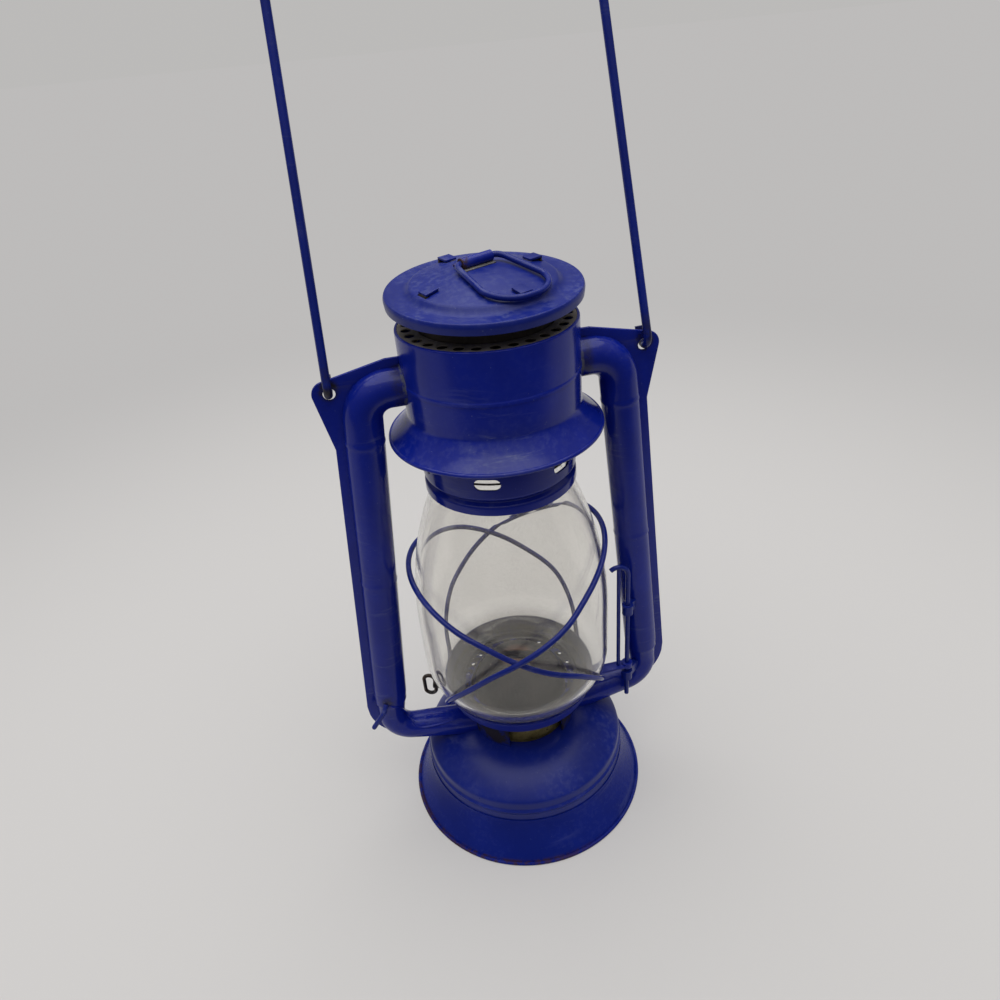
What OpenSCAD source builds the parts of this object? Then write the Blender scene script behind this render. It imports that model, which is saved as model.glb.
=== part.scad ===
// Tubular kerosene lantern of the cold-blast kind, with a wire bail.
// Origin: centre of the base, on the surface it stands on.
// X runs along the two side tubes, -Y is the front, Z is up. All sizes in millimetres.

/* [Base and tank] */
// Radius over the rolled rim of the base
base_r = 58; // [54:0.5:64]
// Radius of the rolled bead on the base rim
rim_bead_r = 1.5; // [1.2:0.1:2]
// Depth of the flat on which the bead stands
rim_flat = 0.3; // [0.2:0.1:0.5]
// Height where the skirt meets the tank wall
skirt_top_z = 20.8; // [18:0.2:24]
// Power of the skirt's flare, 1 is a straight cone
skirt_power = 1.5; // [1:0.1:2.2]
// Radius of the tank at its shoulder
tank_r = 47.8; // [46:0.2:49]
// How much the tank wall widens from the shoulder to the skirt
tank_flare = 0.5; // [0.2:0.1:0.8]
// Height of the tank's shoulder
shoulder_z = 32; // [29:0.5:34]
// Height of the flat land on top of the tank
dome_top_z = 43; // [41:0.5:46]
// Radius of the flat land on top of the tank
dome_land_r = 23; // [22.5:0.5:25]
// Height of the tank's bottom plate above the floor
bottom_z = 5; // [4:0.2:6]
// Thickness of the pressed sheet
sheet = 0.8; // [0.6:0.05:1]
// How far the tank wall reaches down inside the skirt
seam_lap = 3; // [2:0.5:5]

/* [Filler] */
// Gap between the filler's flange and the air chamber
filler_gap = 0.2; // [0.2:0.1:1]
// Lean of the filler away from the lamp's axis
filler_lean = 22; // [16:1:26]
// Outer radius of the filler neck
filler_neck_r = 7.6; // [6.6:0.2:8]
// Width of the filler neck's flange
filler_flange = 3; // [2.4:0.2:3.2]
// Height of the filler neck above the tank
filler_neck_h = 7; // [6:0.5:9]
// Height of the filler cap's skirt
filler_cap_h = 6.4; // [5.6:0.2:8]
// Number of grip flutes round the filler cap
filler_flutes = 20; // [12:2:28]
// Thickness of the filler gasket
gasket_t = 1.2; // [0.8:0.2:1.6]

/* [Burner and wick] */
// Outer radius of the burner's skirt
burner_r = 22; // [21:0.2:22.4]
// Height of the burner's skirt
burner_h = 13; // [12:0.5:14]
// Radius of the burner collar's threaded neck
collar_r = 20.4; // [19:0.2:20.6]
// Radius of the tank hole that takes the burner collar
collar_hole_r = 18.4; // [17.6:0.2:18.8]
// Height of the burner cone above its flange
cone_h = 22; // [20:0.5:24]
// Width of the wick
wick_w = 12; // [10:0.5:14]
// Thickness of the wick
wick_t = 2.6; // [2:0.2:3]
// Height of the wick tube's mouth above the burner's top
wick_tube_rise = 18; // [16:0.5:19]
// Height of the wick's lower end above the tank's bottom
wick_foot_up = 10.5; // [10:0.5:14]
// Heading of the wick spindle, from +X
spindle_yaw = 162; // [155:1:168]
// Radius of the wick spindle
spindle_r = 1; // [0.8:0.1:1.2]
// Height of the wick spindle above the tank's top
spindle_up = 9; // [8:0.5:10]
// Distance of the key's near end from the lamp's axis, along the spindle
key_out = 41; // [39:0.5:44]
// Width of the key's wire loop along the spindle
key_loop_w = 5.4; // [4.8:0.2:7]
// Height of the key's wire loop across the spindle
key_loop_h = 12; // [10:0.5:13]
// Radius of the key's wire
key_wire_r = 0.9; // [0.7:0.1:1.1]
// Tip radius of the spur wheels
spur_r = 4.2; // [3.6:0.2:4.6]
// Number of teeth on a spur wheel
spur_teeth = 12; // [8:1:16]

/* [Air chamber and globe plate] */
// Outer radius of the air chamber round the burner
chamber_r = 25.2; // [24.8:0.2:26.4]
// Height of the globe plate's underside above the tank's top
plate_up = 20.5; // [20:0.5:24]
// Gap between the globe and the plate's rim
plate_gap = 1.5; // [1:0.1:2.2]
// How far the plate's rim widens
plate_rim_out = 1.8; // [1.4:0.1:2.4]
// Height of the plate's rim
plate_rim_h = 6.5; // [5:0.5:8]
// Number of air holes round the plate
plate_holes = 24; // [16:2:28]
// Radius of the plate's air holes
plate_hole_r = 0.9; // [0.7:0.1:1.1]
// Angle over which the chamber is open at the front
window_angle = 64; // [50:2:72]
// Heading of the middle of the chamber's window, from +X
window_yaw = -85; // [-95:1:-75]

/* [Globe] */
// Height of the glass globe
globe_h = 117; // [108:0.5:128]
// Largest radius of the globe
belly_r = 42; // [41:0.2:43.6]
// Height of the lower end of the belly above the globe's foot
belly_low = 28.4; // [26:0.4:34]
// Height of the upper end of the belly above the globe's foot
belly_high = 47.4; // [42:0.4:52]
// Radius of the globe's foot
foot_r = 28.5; // [27.6:0.1:29.4]
// Height of the globe's straight foot
foot_h = 2.4; // [2:0.2:4]
// Height of the globe's straight neck
neck_h = 6; // [5:0.1:10]
// Thickness of the glass
glass_t = 2; // [1.6:0.1:2.4]

/* [Guard wires and lift] */
// Radius of the guard wires
guard_wire_r = 1.2; // [1:0.1:1.4]
// Gap between the inner guard wire and the globe's belly where the wires cross
guard_gap = 0.6; // [0.2:0.1:0.8]
// Height of the middle of the left guard wire's wave above the globe's foot
guard_mid = 52; // [49:0.5:54]
// Rise and fall of the left guard wire about its middle
guard_swing = 35; // [33:0.5:36]
// Sag of the guard wires at the top and bottom of their waves
guard_dip = 3.5; // [2.5:0.5:4]
// How much lower the right guard wire's wave is
guard_drop = 4.3; // [3:0.1:5]
// Turn of the right guard wire's wave towards the front
guard_turn = 10; // [6:1:12]
// Angle from the low point of a wave to the guard wire's front end
guard_front = 20; // [18:1:24]
// Angle from the low point of a wave to the guard wire's back end
guard_back = 22; // [20:1:38]
// Radius of the lift wire
lift_wire_r = 1.1; // [0.9:0.05:1.3]
// Travel of the globe lift
lift_travel = 10; // [8:0.5:11]
// Height of the lower lift guide above the axis of the tube's leg
guide_low = 12.1; // [11.6:0.1:14]
// Distance between the two lift guides
guide_gap = 41; // [36:1:46]
// Height of a lift guide
guide_h = 5; // [4:0.5:6]
// Length of the lift wire above the upper guide
lift_grip = 20; // [16:1:24]

/* [Side tubes] */
// Outer radius of a side tube
tube_r = 7.6; // [7:0.1:8]
// Bend radius of a side tube's elbows
bend_r = 11.5; // [10.5:0.5:13]
// Height of the axis of a tube's leg above the tank's top
leg_up = 4.9; // [4:0.1:5.5]
// How much thinner a tube is at its lower elbow and leg
leg_taper = 1.3; // [0.6:0.1:1.6]
// Straight length of a tube's top stub outside the drum
stub_len = 4.9; // [4:0.1:7]
// Gap between the guard wires and the lower elbow's centre
foot_gap = 5.3; // [4.5:0.1:7]
// Depth of the tubes' axis below the drum's top
tube_drop = 20.1; // [18.5:0.5:21]
// Width of the pressed fin beyond the tube
fin_w = 3.5; // [2.5:0.1:4.5]
// Thickness of the fin
fin_t = 1.2; // [1:0.1:1.6]
// Distance of the lug's hole beyond the top elbow
lug_out = 10.1; // [9.6:0.1:11]
// Height of the lug's hole above the top stub's axis
lug_up = 1; // [0.5:0.1:1.5]
// Radius of the lug's round end
lug_r = 5; // [4.6:0.1:5.4]
// Radius of the lug's hole
lug_hole_r = 2.3; // [2.2:0.05:2.5]
// Height of a pressed rib on the tubes
rib_h = 0.35; // [0.2:0.05:0.5]
// Length of the wire stub on the left tube
catch_len = 19; // [15:0.5:22]
// Radius of the wire stub on the left tube
catch_r = 1.15; // [0.9:0.05:1.3]

/* [Bell, canopy and drum] */
// Gap between the bell and the drum
bell_gap = 2.2; // [1.4:0.1:2.6]
// How far the bell reaches down over the globe's neck
bell_lap = 3.6; // [3:0.1:5]
// Height of the bell that shows below the canopy
bell_show = 23.3; // [22:0.1:26]
// Height of the bell's straight wall
bell_wall_h = 23; // [22:0.5:26]
// Depth of the groove in the bell that rests on the globe's top
groove_d = 1.9; // [1.7:0.1:2.3]
// Number of air slots in the bell
bell_slots = 6; // [4:1:8]
// Width of an air slot
slot_w = 10; // [8:0.5:12]
// Height of an air slot
slot_h = 4.6; // [3.6:0.2:5.4]
// Height of the slots' middle above the bell's rim
slot_up = 13.2; // [12:0.2:16]
// Heading of the first slot, from +X
slot_yaw = -110; // [-130:1:-80]
// Outer radius of the drum
drum_r = 33.5; // [32.9:0.1:34.5]
// Height from the canopy's rim to the drum's top
drum_h = 41.8; // [40:0.2:46]
// Height of the canopy's brim
brim_h = 9.7; // [8:0.1:12]
// How far the brim stands out beyond the drum
brim_out = 8.3; // [7:0.1:8.5]
// Height of the seam between canopy and drum above the canopy's rim
seam_up = 22.3; // [20:0.1:26]
// Number of holes in the inlet ring
inlet_holes = 30; // [20:1:34]
// Radius of the inlet holes
inlet_hole_r = 1.75; // [1.4:0.05:1.9]
// Distance of the inlet holes inside the drum's radius
inlet_in = 3.6; // [3.3:0.1:4]

/* [Chimney and cap] */
// Outer radius of the chimney
chimney_r = 24.8; // [24:0.1:25.4]
// Height of the chimney's top above the drum
chimney_up = 4; // [3:0.2:5]
// Height of the cap's rim above the drum
cap_up = 11.6; // [11.2:0.1:14]
// How far the cap's rim stands out beyond the drum
cap_over = 2.1; // [1.6:0.1:3]
// Depth of the cap's turned-down lip
cap_lip = 3.2; // [2.4:0.1:4]
// Height of the cap's flat top above its rim
cap_crown_h = 6.5; // [5.5:0.1:8]
// Radius of the cap's flat top
cap_flat_r = 8; // [7:0.2:10]
// Height of the step round the cap's crown
cap_step_h = 3; // [2.4:0.1:3.6]
// Lean of the cap towards the front
cap_lean = 4; // [0:0.5:6]
// Turn of the crown about the lamp's axis
crown_yaw = 24; // [0:1:45]
// Width of the chimney's folded tabs
tab_w = 5; // [4:0.2:6]
// Length of the ring lug
ring_lug_len = 13; // [11:0.5:15]
// Distance of the ring lug behind the cap's centre
ring_lug_back = 3.5; // [2:0.1:4.5]
// Radius of the finger ring's wire
ring_wire_r = 1.1; // [0.9:0.05:1.3]
// Width of the finger ring between the middles of its arms
ring_w = 25; // [23:0.5:26]
// Depth of the finger ring from its hinge to the middle of its front
ring_d = 31; // [29:0.5:32]
// Corner radius of the finger ring
ring_corner = 11; // [8:0.5:11.5]
// How far the finger ring sits to the side of its lug
ring_shift = 0.6; // [0:0.1:1]
// Droop of the finger ring where it lies on the cap
ring_droop = 8; // [6:0.1:8.2]

/* [Crown spring] */
// Radius of the crown spring's wire
spring_wire_r = 0.8; // [0.6:0.05:0.9]
// Number of curls in the crown spring
spring_curls = 5; // [4:1:6]

/* [Bail] */
// Radius of the bail's wire
bail_wire_r = 1.6; // [1.4:0.05:1.65]
// Radius of the hooks that go round the lugs
hook_r = 4; // [3.9:0.05:4.2]
// Length of the bail's straight sides
bail_side = 125; // [110:1:140]
// Lean of the bail's sides towards each other
bail_taper = 2.3; // [1:0.1:4]
// Lean of the bail to the back, where it rests
bail_lean = 18; // [5:1:25]
// Length of the hook's free end
hook_tail = 3; // [2:0.5:4]

/* [Hidden] */
// Clearances
weld = 0.05;        // between pieces that are soldered together
seat = 0.3;         // between a piece and what it rests on
fit = 0.05;         // running fit of a wire or shaft in its hole
slack = 0.6;        // round pieces that slide past each other
bend_step = 0.04;   // by which a bend is thicker than the straight lengths that run into it
bend_lap = 0.2;     // by which a straight length runs into a bend
$fn = 96;

// Heights, from the tank upwards
leg_z = dome_top_z + leg_up;
spindle_z = dome_top_z + spindle_up;
collar_flange_h = 1.2;
burner_z = dome_top_z + weld + collar_flange_h + seat;
burner_top_z = burner_z + burner_h;
cone_z = burner_top_z + weld;
cone_wall_h = 2.5;
wick_tube_top_z = burner_top_z + wick_tube_rise;
wick_foot_z = bottom_z + wick_foot_up;
plate_z = dome_top_z + plate_up;
chamber_top_z = plate_z - seat;
globe_z = plate_z + sheet + seat;
globe_top_z = globe_z + globe_h;
bell_z = globe_top_z - bell_lap;
canopy_z = bell_z + bell_show;
drum_top_z = canopy_z + drum_h;
seam_z = canopy_z + seam_up;
tube_top_z = drum_top_z - tube_drop;
chimney_top_z = drum_top_z + chimney_up;
cap_z = drum_top_z + cap_up;

// Radii
tank_foot_r = tank_r + tank_flare;
skirt_top_r = tank_foot_r + weld + sheet;
drum_in_r = drum_r - sheet;
bell_r = drum_in_r - bell_gap;
neck_r = bell_r - sheet - slack - 0.5;
guard_r = belly_r + guard_gap + 2 * guard_wire_r + weld;
cap_r = drum_r + cap_over;
filler_out = chamber_r + filler_gap + filler_flange + filler_neck_r;

// Globe: straight foot, round belly, long upper sweep, straight neck
function sweep(dr, dz) = (dz * dz + dr * dr) / (2 * dr);
function arc_in(r, d) = r - sqrt(r * r - d * d);
belly_drop = belly_low - foot_h;
low_sweep = sweep(belly_r - foot_r, belly_drop);
neck_z = globe_h - neck_h;
high_sweep = sweep(belly_r - neck_r, neck_z - belly_high);
// Outer radius of the globe at height z
function globe_r(z) = let (up = z - globe_z)
    up < belly_low ? belly_r - arc_in(low_sweep, min(belly_low - up, belly_drop))
    : belly_r - arc_in(high_sweep, min(max(up - belly_high, 0), neck_z - belly_high));

// Globe plate, whose rim stands round the globe's lower end
plate_hole_in_r = burner_r + 1.5;
plate_rim_r = globe_r(plate_z + plate_rim_h) + plate_gap + sheet;
plate_r = plate_rim_r - plate_rim_out;

// Side tubes: centres of the two elbows, and the slope of the leg between them
elbow_top = [drum_r + stub_len, tube_top_z - bend_r];
elbow_low = [guard_r + guard_wire_r + foot_gap, leg_z + bend_r];
splay = atan((elbow_low[0] - elbow_top[0]) / (elbow_top[1] - elbow_low[1]));
leg_side = [cos(splay), sin(splay)];
leg_top = elbow_top + bend_r * leg_side;
leg_low = elbow_low + bend_r * leg_side;
lug = [elbow_top[0] + bend_r + lug_out, tube_top_z + lug_up];
function tube_x(z) = leg_top[0] + (leg_top[1] - z) * tan(splay);

// Lift wire in front of the right tube's leg
lift_x = elbow_low[0];
lift_y = -(tube_r + lift_wire_r + slack);
guide_low_z = leg_z + guide_low;
guide_high_z = guide_low_z + guide_gap;
lift_foot_z = guide_low_z - guide_h / 2 - lift_travel;
ear_z = plate_z + 2.4;
ear_w = 5;
ear_t = 1;
lift_eye_r = lift_wire_r + 1.5;

// Wick spindle, beside the wick
spur_gap = 0.2;
spindle_side = wick_t / 2 + spur_gap + spur_r;

// Bail hooks turn about the strip of metal above the lug's hole
bail_pivot_z = lug[1] + hook_r;

// Colours
blue = [0.09, 0.12, 0.52];
dark_steel = [0.28, 0.27, 0.27];
soot = [0.2, 0.17, 0.15];
brass = [0.62, 0.55, 0.28];
clear_glass = [0.85, 0.88, 0.88, 0.4];
cotton = [0.85, 0.82, 0.72];
rubber = [0.12, 0.11, 0.11];

// Points on an arc about c
function arc(c, r, a0, a1, n) = [for (i = [0:n])
    let (a = a0 + (a1 - a0) * i / n) c + r * [cos(a), sin(a)]];
function unit(v) = v / norm(v);
function left_of(v) = [-v[1], v[0]];
function side_at(p, i) = left_of(unit(p[min(i + 1, len(p) - 1)] - p[min(i, len(p) - 2)]));
function side_before(p, i) = left_of(unit(p[max(i, 1)] - p[max(i - 1, 0)]));
function miter(p, i) = let (n = unit(side_at(p, i) + side_before(p, i))) n / max(n * side_at(p, i), 0.4);
// A sheet of thickness t on the left of path p
function sheet_on(p, t) = concat(p, [for (i = [len(p) - 1:-1:0]) p[i] + t * miter(p, i)]);
function smooth(x) = let (c = min(max(x, 0), 1)) c * c * (3 - 2 * c);

module revolve(p) {
    rotate_extrude() polygon(p);
}

// Ring of round section, about the Z axis
module hoop(r, wire_r, angle = 360) {
    rotate_extrude(angle = angle) translate([r, 0]) circle(wire_r, $fn = 32);
}

// Round bar between two points
module bar(a, b, r) {
    d = b - a;
    turn = atan2(d[1], d[0]);
    tip = acos(d[2] / norm(d));
    translate(a) rotate([0, tip, turn]) cylinder(r = r, h = norm(d), $fn = 32);
}

// Tube of round section along points p, held upright by the vectors in ref
module swept(p, ref, r, sides) {
    n = len(p);
    ahead = [for (i = [0:n - 1]) unit(p[min(i + 1, n - 1)] - p[max(i - 1, 0)])];
    up = [for (i = [0:n - 1]) unit(ref[i] - (ref[i] * ahead[i]) * ahead[i])];
    rings = [for (i = [0:n - 1]) let (side = cross(ahead[i], up[i]))
        for (k = [0:sides - 1]) let (a = 360 * k / sides) p[i] + r * (cos(a) * up[i] + sin(a) * side)];
    walls = [for (i = [0:n - 2]) for (k = [0:sides - 1]) let (l = (k + 1) % sides)
        for (f = [[i * sides + k, i * sides + l, (i + 1) * sides + l],
                  [i * sides + k, (i + 1) * sides + l, (i + 1) * sides + k]]) f];
    first = [for (k = [1:sides - 2]) [0, k + 1, k]];
    last = [for (k = [1:sides - 2]) [(n - 1) * sides, (n - 1) * sides + k, (n - 1) * sides + k + 1]];
    polyhedron(rings, concat(walls, first, last));
}

// Base and tank

function skirt_r(z) = let (end_r = base_r - rim_bead_r, t = (skirt_top_z - z) / skirt_top_z)
    skirt_top_r + (end_r - skirt_top_r) * pow(max(t, 0), skirt_power);

module base_skirt() color(blue) difference() {
    steps = 14;
    low_z = rim_bead_r - rim_flat;
    path = [for (i = [0:steps]) let (z = low_z + (skirt_top_z - low_z) * i / steps) [skirt_r(z), z]];
    union() {
        revolve(sheet_on(path, sheet));
        translate([0, 0, low_z]) hoop(base_r - rim_bead_r, rim_bead_r);
    }
    translate([0, 0, -2 * rim_bead_r]) cylinder(r = base_r + 1, h = 2 * rim_bead_r);
}

function dome_z(r) = let (t = (r - dome_land_r) / (tank_r - dome_land_r))
    dome_top_z - (dome_top_z - shoulder_z) * pow(max(t, 0), 2);
// Outline of the tank from its wall's foot over the shoulder to its top land
dome_steps = 14;
wall_bead_z = (shoulder_z + skirt_top_z) / 2;
wall_bead = 0.6;
dome_path = concat([[tank_foot_r, skirt_top_z - seam_lap], [tank_foot_r, wall_bead_z - 1],
    [tank_foot_r + wall_bead, wall_bead_z], [tank_r, wall_bead_z + 1]],
    [for (i = [0:dome_steps]) let (r = tank_r - (tank_r - dome_land_r) * i / dome_steps) [r, dome_z(r)]]);

module tank_dome() color(blue) difference() {
    revolve(sheet_on(concat(dome_path, [[collar_hole_r + weld, dome_top_z]]), sheet));
    filler_place() translate([0, 0, -20]) cylinder(r = filler_neck_r - sheet, h = 40);
}

// What the tank takes up outside, swollen by gap, for cutting pieces that sit on it
module tank_envelope(gap) {
    top = [for (p = dome_path) p + [0, gap]];
    revolve(concat([[0, 0], [tank_foot_r + gap, 0]], top, [[0, dome_top_z + gap]]));
}

module tank_bottom() color(blue) {
    rim_r = skirt_r(bottom_z + 3 * sheet) - 1.5 * sheet;
    revolve([[0, bottom_z], [rim_r - 6, bottom_z], [rim_r - 4, bottom_z - 2 * sheet],
        [rim_r - 2, bottom_z - 2 * sheet], [rim_r, bottom_z + 2 * sheet],
        [rim_r - sheet, bottom_z + 2 * sheet],
        [rim_r - 2.5, bottom_z - sheet], [rim_r - 3.6, bottom_z - sheet],
        [rim_r - 5.6, bottom_z + sheet], [0, bottom_z + sheet]]);
}

// Filler, at the back of the tank

module filler_place() {
    translate([0, filler_out, dome_z(filler_out)]) rotate([-filler_lean, 0, 0]) children();
}

filler_root = 8;
filler_cap_r = filler_neck_r + slack + 1.4;
filler_top = filler_neck_h + seat + gasket_t + seat;

module filler_neck() color(blue) difference() {
    filler_place() rotate_extrude() polygon([
        [filler_neck_r - sheet, -filler_root], [filler_neck_r + filler_flange, -filler_root],
        [filler_neck_r + filler_flange, 0], [filler_neck_r, 1.2], [filler_neck_r, filler_neck_h],
        [filler_neck_r - sheet, filler_neck_h]]);
    tank_envelope(weld);
}

module filler_gasket() color(rubber) filler_place() translate([0, 0, filler_neck_h + seat]) difference() {
    cylinder(r = filler_neck_r, h = gasket_t);
    translate([0, 0, -1]) cylinder(r = filler_neck_r - 2.4, h = gasket_t + 2);
}

module filler_cap() color(blue) filler_place() difference() {
    rotate_extrude() polygon([
        [0, filler_top], [filler_neck_r + slack, filler_top],
        [filler_neck_r + slack, filler_top - filler_cap_h],
        [filler_cap_r, filler_top - filler_cap_h], [filler_cap_r, filler_top + 0.4],
        [filler_cap_r - 0.8, filler_top + 1.2], [0, filler_top + 1.2]]);
    for (i = [0:filler_flutes - 1]) rotate(360 * i / filler_flutes)
        translate([filler_cap_r + 0.5, 0, filler_top - filler_cap_h - 1])
            cylinder(r = 0.8, h = filler_cap_h, $fn = 24);
}

// Burner and wick

module burner_collar() color(brass) {
    land_z = dome_top_z + weld;
    in_r = collar_hole_r - 1.6;
    revolve([[in_r, land_z - 3], [collar_hole_r, land_z - 3], [collar_hole_r, land_z], [burner_r, land_z],
        [burner_r, land_z + collar_flange_h], [collar_r, land_z + collar_flange_h],
        [collar_r, burner_top_z - 8], [in_r, burner_top_z - 8]]);
}

module spindle_place() {
    translate([0, 0, spindle_z]) rotate(spindle_yaw) translate([0, -spindle_side, 0])
        rotate([0, 90, 0]) children();
}

// Flat oval bar for the wick and its tube, about the lamp's axis
module flat_oval(w, t, z0, z1) {
    rotate(spindle_yaw) translate([0, 0, z0]) linear_extrude(z1 - z0) union() {
        square([w - t, t], center = true);
        for (s = [-1, 1]) translate([s * (w - t) / 2, 0]) circle(t / 2, $fn = 32);
    }
}

wick_play = 0.3;
tube_wall = 0.5;
tube_bore_w = wick_w + 2 * wick_play + 1;
tube_bore_t = wick_t + 2 * wick_play;
tube_w = tube_bore_w + 2 * tube_wall;
tube_t = tube_bore_t + 2 * tube_wall;

module burner_body() color(brass) difference() {
    revolve([[burner_r - sheet, burner_z], [burner_r, burner_z], [burner_r, burner_top_z - 1.5],
        [burner_r - 1, burner_top_z], [0, burner_top_z], [0, burner_top_z - sheet],
        [burner_r - 1.5, burner_top_z - sheet], [burner_r - sheet, burner_top_z - 2]]);
    flat_oval(tube_w + 2 * weld, tube_t + 2 * weld, burner_z, burner_top_z + 1);
    spindle_place() cylinder(r = gland_r + weld, h = chamber_r + 2, $fn = 32);
    for (i = [0:11]) rotate(30 * i + 15) translate([burner_r - 6, 0, burner_top_z - 3])
        cylinder(r = 1.5, h = 4, $fn = 32);
}

module wick_tube() color(brass) difference() {
    flat_oval(tube_w, tube_t, dome_top_z - 6, wick_tube_top_z);
    flat_oval(tube_bore_w, tube_bore_t, dome_top_z - 7, wick_tube_top_z + 1);
    // Opening in which the spur wheels reach the wick
    translate([0, 0, spindle_z]) rotate(spindle_yaw) translate([0, -tube_t / 2, 0])
        cube([spur_reach + 2, tube_t, 2 * spur_r + 1], center = true);
}

module wick() color(cotton) {
    rotate(spindle_yaw) translate([-wick_w / 2, -wick_t / 2, wick_foot_z])
        cube([wick_w, wick_t, wick_tube_top_z + 2 - wick_foot_z]);
}

spur_t = 1;
spur_reach = 7;

module spur_wheels() color(dark_steel) for (s = [-1, 1]) spindle_place()
    translate([0, 0, s * (spur_reach - spur_t) / 2 - spur_t / 2]) linear_extrude(spur_t) difference() {
        polygon([for (i = [0:2 * spur_teeth - 1]) let (a = 180 * (i + 0.5) / spur_teeth)
            (i % 2 == 0 ? spur_r : spur_r - 0.9) * [cos(a), sin(a)]]);
        circle(spindle_r + fit, $fn = 32);
    }

key_socket_h = 4;

module wick_spindle() color(dark_steel) spindle_place() translate([0, 0, -spur_reach / 2 - 1])
    cylinder(r = spindle_r, h = key_out + key_socket_h + spur_reach / 2, $fn = 32);

gland_r = 2.4;

module spindle_gland() color(brass) spindle_place() difference() {
    translate([0, 0, burner_r - 4]) union() {
        cylinder(r = gland_r, h = chamber_r - burner_r + 6, $fn = 32);
        translate([0, 0, chamber_r - burner_r + 4.4]) cylinder(r = gland_r + 1, h = 2, $fn = 6);
    }
    cylinder(r = spindle_r + fit, h = 2 * chamber_r, $fn = 32);
}

// Wire loop on a socket at the spindle's end
module wick_key() color(dark_steel) spindle_place() translate([0, 0, key_out]) difference() {
    turn_r = key_loop_w / 2;
    side = key_loop_h - key_loop_w;
    union() {
        cylinder(r = spindle_r + 0.9, h = key_socket_h, $fn = 32);
        translate([0, 0, key_socket_h + turn_r - key_wire_r]) for (s = [0, 180]) rotate([0, s, 0]) {
            translate([side / 2, 0, 0]) rotate([90, 0, 0]) rotate(-90)
                hoop(turn_r, key_wire_r + bend_step, 180);
            translate([-side / 2 - bend_lap, 0, turn_r]) rotate([0, 90, 0])
                cylinder(r = key_wire_r, h = side + 2 * bend_lap, $fn = 32);
        }
    }
    translate([0, 0, -1]) cylinder(r = spindle_r + fit, h = key_socket_h, $fn = 32);
}

module burner_cone() color(dark_steel) difference() {
    steps = 12;
    path = concat([[burner_r, cone_z], [burner_r, cone_z + cone_wall_h]],
        [for (i = [1:steps]) let (a = 85 * i / steps)
            [burner_r * cos(a), cone_z + cone_wall_h + (cone_h - cone_wall_h) * sin(a)]]);
    revolve(sheet_on(path, sheet));
    flat_oval(tube_w + 4, tube_t + 2, cone_z + cone_h - 8, cone_z + cone_h + 1);
    for (i = [0:23]) rotate(15 * i) translate([burner_r, 0, cone_z + cone_wall_h / 2]) rotate([0, 90, 0])
        cylinder(r = 0.6, h = 4, center = true, $fn = 24);
}

// Air chamber under the globe plate

module air_chamber() color(blue) difference() {
    revolve([[chamber_r - sheet, dome_top_z - 1], [chamber_r, dome_top_z - 1],
        [chamber_r, chamber_top_z], [chamber_r - sheet, chamber_top_z]]);
    tank_envelope(weld);
    for (s = [0, 180]) rotate(s) translate([0, 0, leg_z]) rotate([0, 90, 0])
        cylinder(r = tube_r - leg_taper + weld, h = 2 * chamber_r);
    translate([0, 0, dome_top_z - 2]) rotate(window_yaw - window_angle / 2)
        rotate_extrude(angle = window_angle) square([2 * chamber_r, plate_up - 4]);
    spindle_place() cylinder(r = gland_r + weld, h = 2 * chamber_r, $fn = 32);
}

// Side tubes, made for the +X side

taper_len = 8;

module tube_run(r) {
    thin = r - leg_taper;
    rotate([90, 0, 0]) {
        translate([0, tube_top_z, 0]) rotate([0, 90, 0]) cylinder(r = r, h = elbow_top[0] + bend_lap);
        translate(elbow_top) rotate(splay) hoop(bend_r, r + bend_step, 90 - splay);
        translate(leg_low) rotate(splay) rotate([-90, 0, 0]) {
            translate([0, 0, -bend_lap]) cylinder(r = thin, h = 2 * bend_lap);
            translate([0, 0, bend_lap]) cylinder(r1 = thin, r2 = r, h = taper_len);
            translate([0, 0, bend_lap + taper_len]) cylinder(r = r, h = norm(leg_top - leg_low) - taper_len);
        }
        translate(elbow_low) rotate(-90) hoop(bend_r, thin + bend_step, 90 + splay);
        translate([0, leg_z, 0]) rotate([0, 90, 0]) cylinder(r = thin, h = elbow_low[0] + bend_lap);
    }
}

// Outline of the pressed seam that stands out beyond the tube and widens into the lug
fin_out = tube_r + fin_w;
fin_foot = leg_low + fin_out * leg_side + [-sin(splay), cos(splay)] * 5;
fin_waist = leg_top + fin_out * leg_side + [sin(splay), -cos(splay)] * 12;
lug_end = lug + [1.3, 0];
module fin_outline() {
    polygon(concat([[drum_r, tube_top_z], [drum_r, tube_top_z + fin_out]],
        [[elbow_top[0], tube_top_z + fin_out]],
        arc(lug_end, lug_r, 78, -14, 10), [fin_waist, fin_foot, leg_low],
        arc(elbow_top, bend_r, splay, 90, 8)));
}

module tube_ribs() {
    for (z = [canopy_z + 2, (canopy_z + leg_z) / 2 + 14, leg_z + bend_r + 10])
        translate([tube_x(z), 0, z]) rotate([0, -splay, 0]) rotate_extrude()
            translate([tube_r - 0.6, 0]) circle(0.6 + rib_h, $fn = 24);
}

module side_tube() {
    difference() {
        union() {
            tube_run(tube_r);
            tube_ribs();
            rotate([90, 0, 0]) linear_extrude(fin_t, center = true) fin_outline();
        }
        tube_run(tube_r - sheet);
        translate([lug[0], 0, lug[1]]) rotate([90, 0, 0])
            cylinder(r = lug_hole_r, h = 4 * fin_t, center = true);
        translate([0, 0, canopy_z]) cylinder(r = drum_in_r, h = drum_h);
        translate([0, 0, dome_top_z - 10]) cylinder(r = chamber_r - sheet, h = plate_up + 10);
        tank_envelope(weld);
    }
}

module left_tube() color(blue) mirror([1, 0, 0]) side_tube();

module right_tube() color(blue) side_tube();

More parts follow.
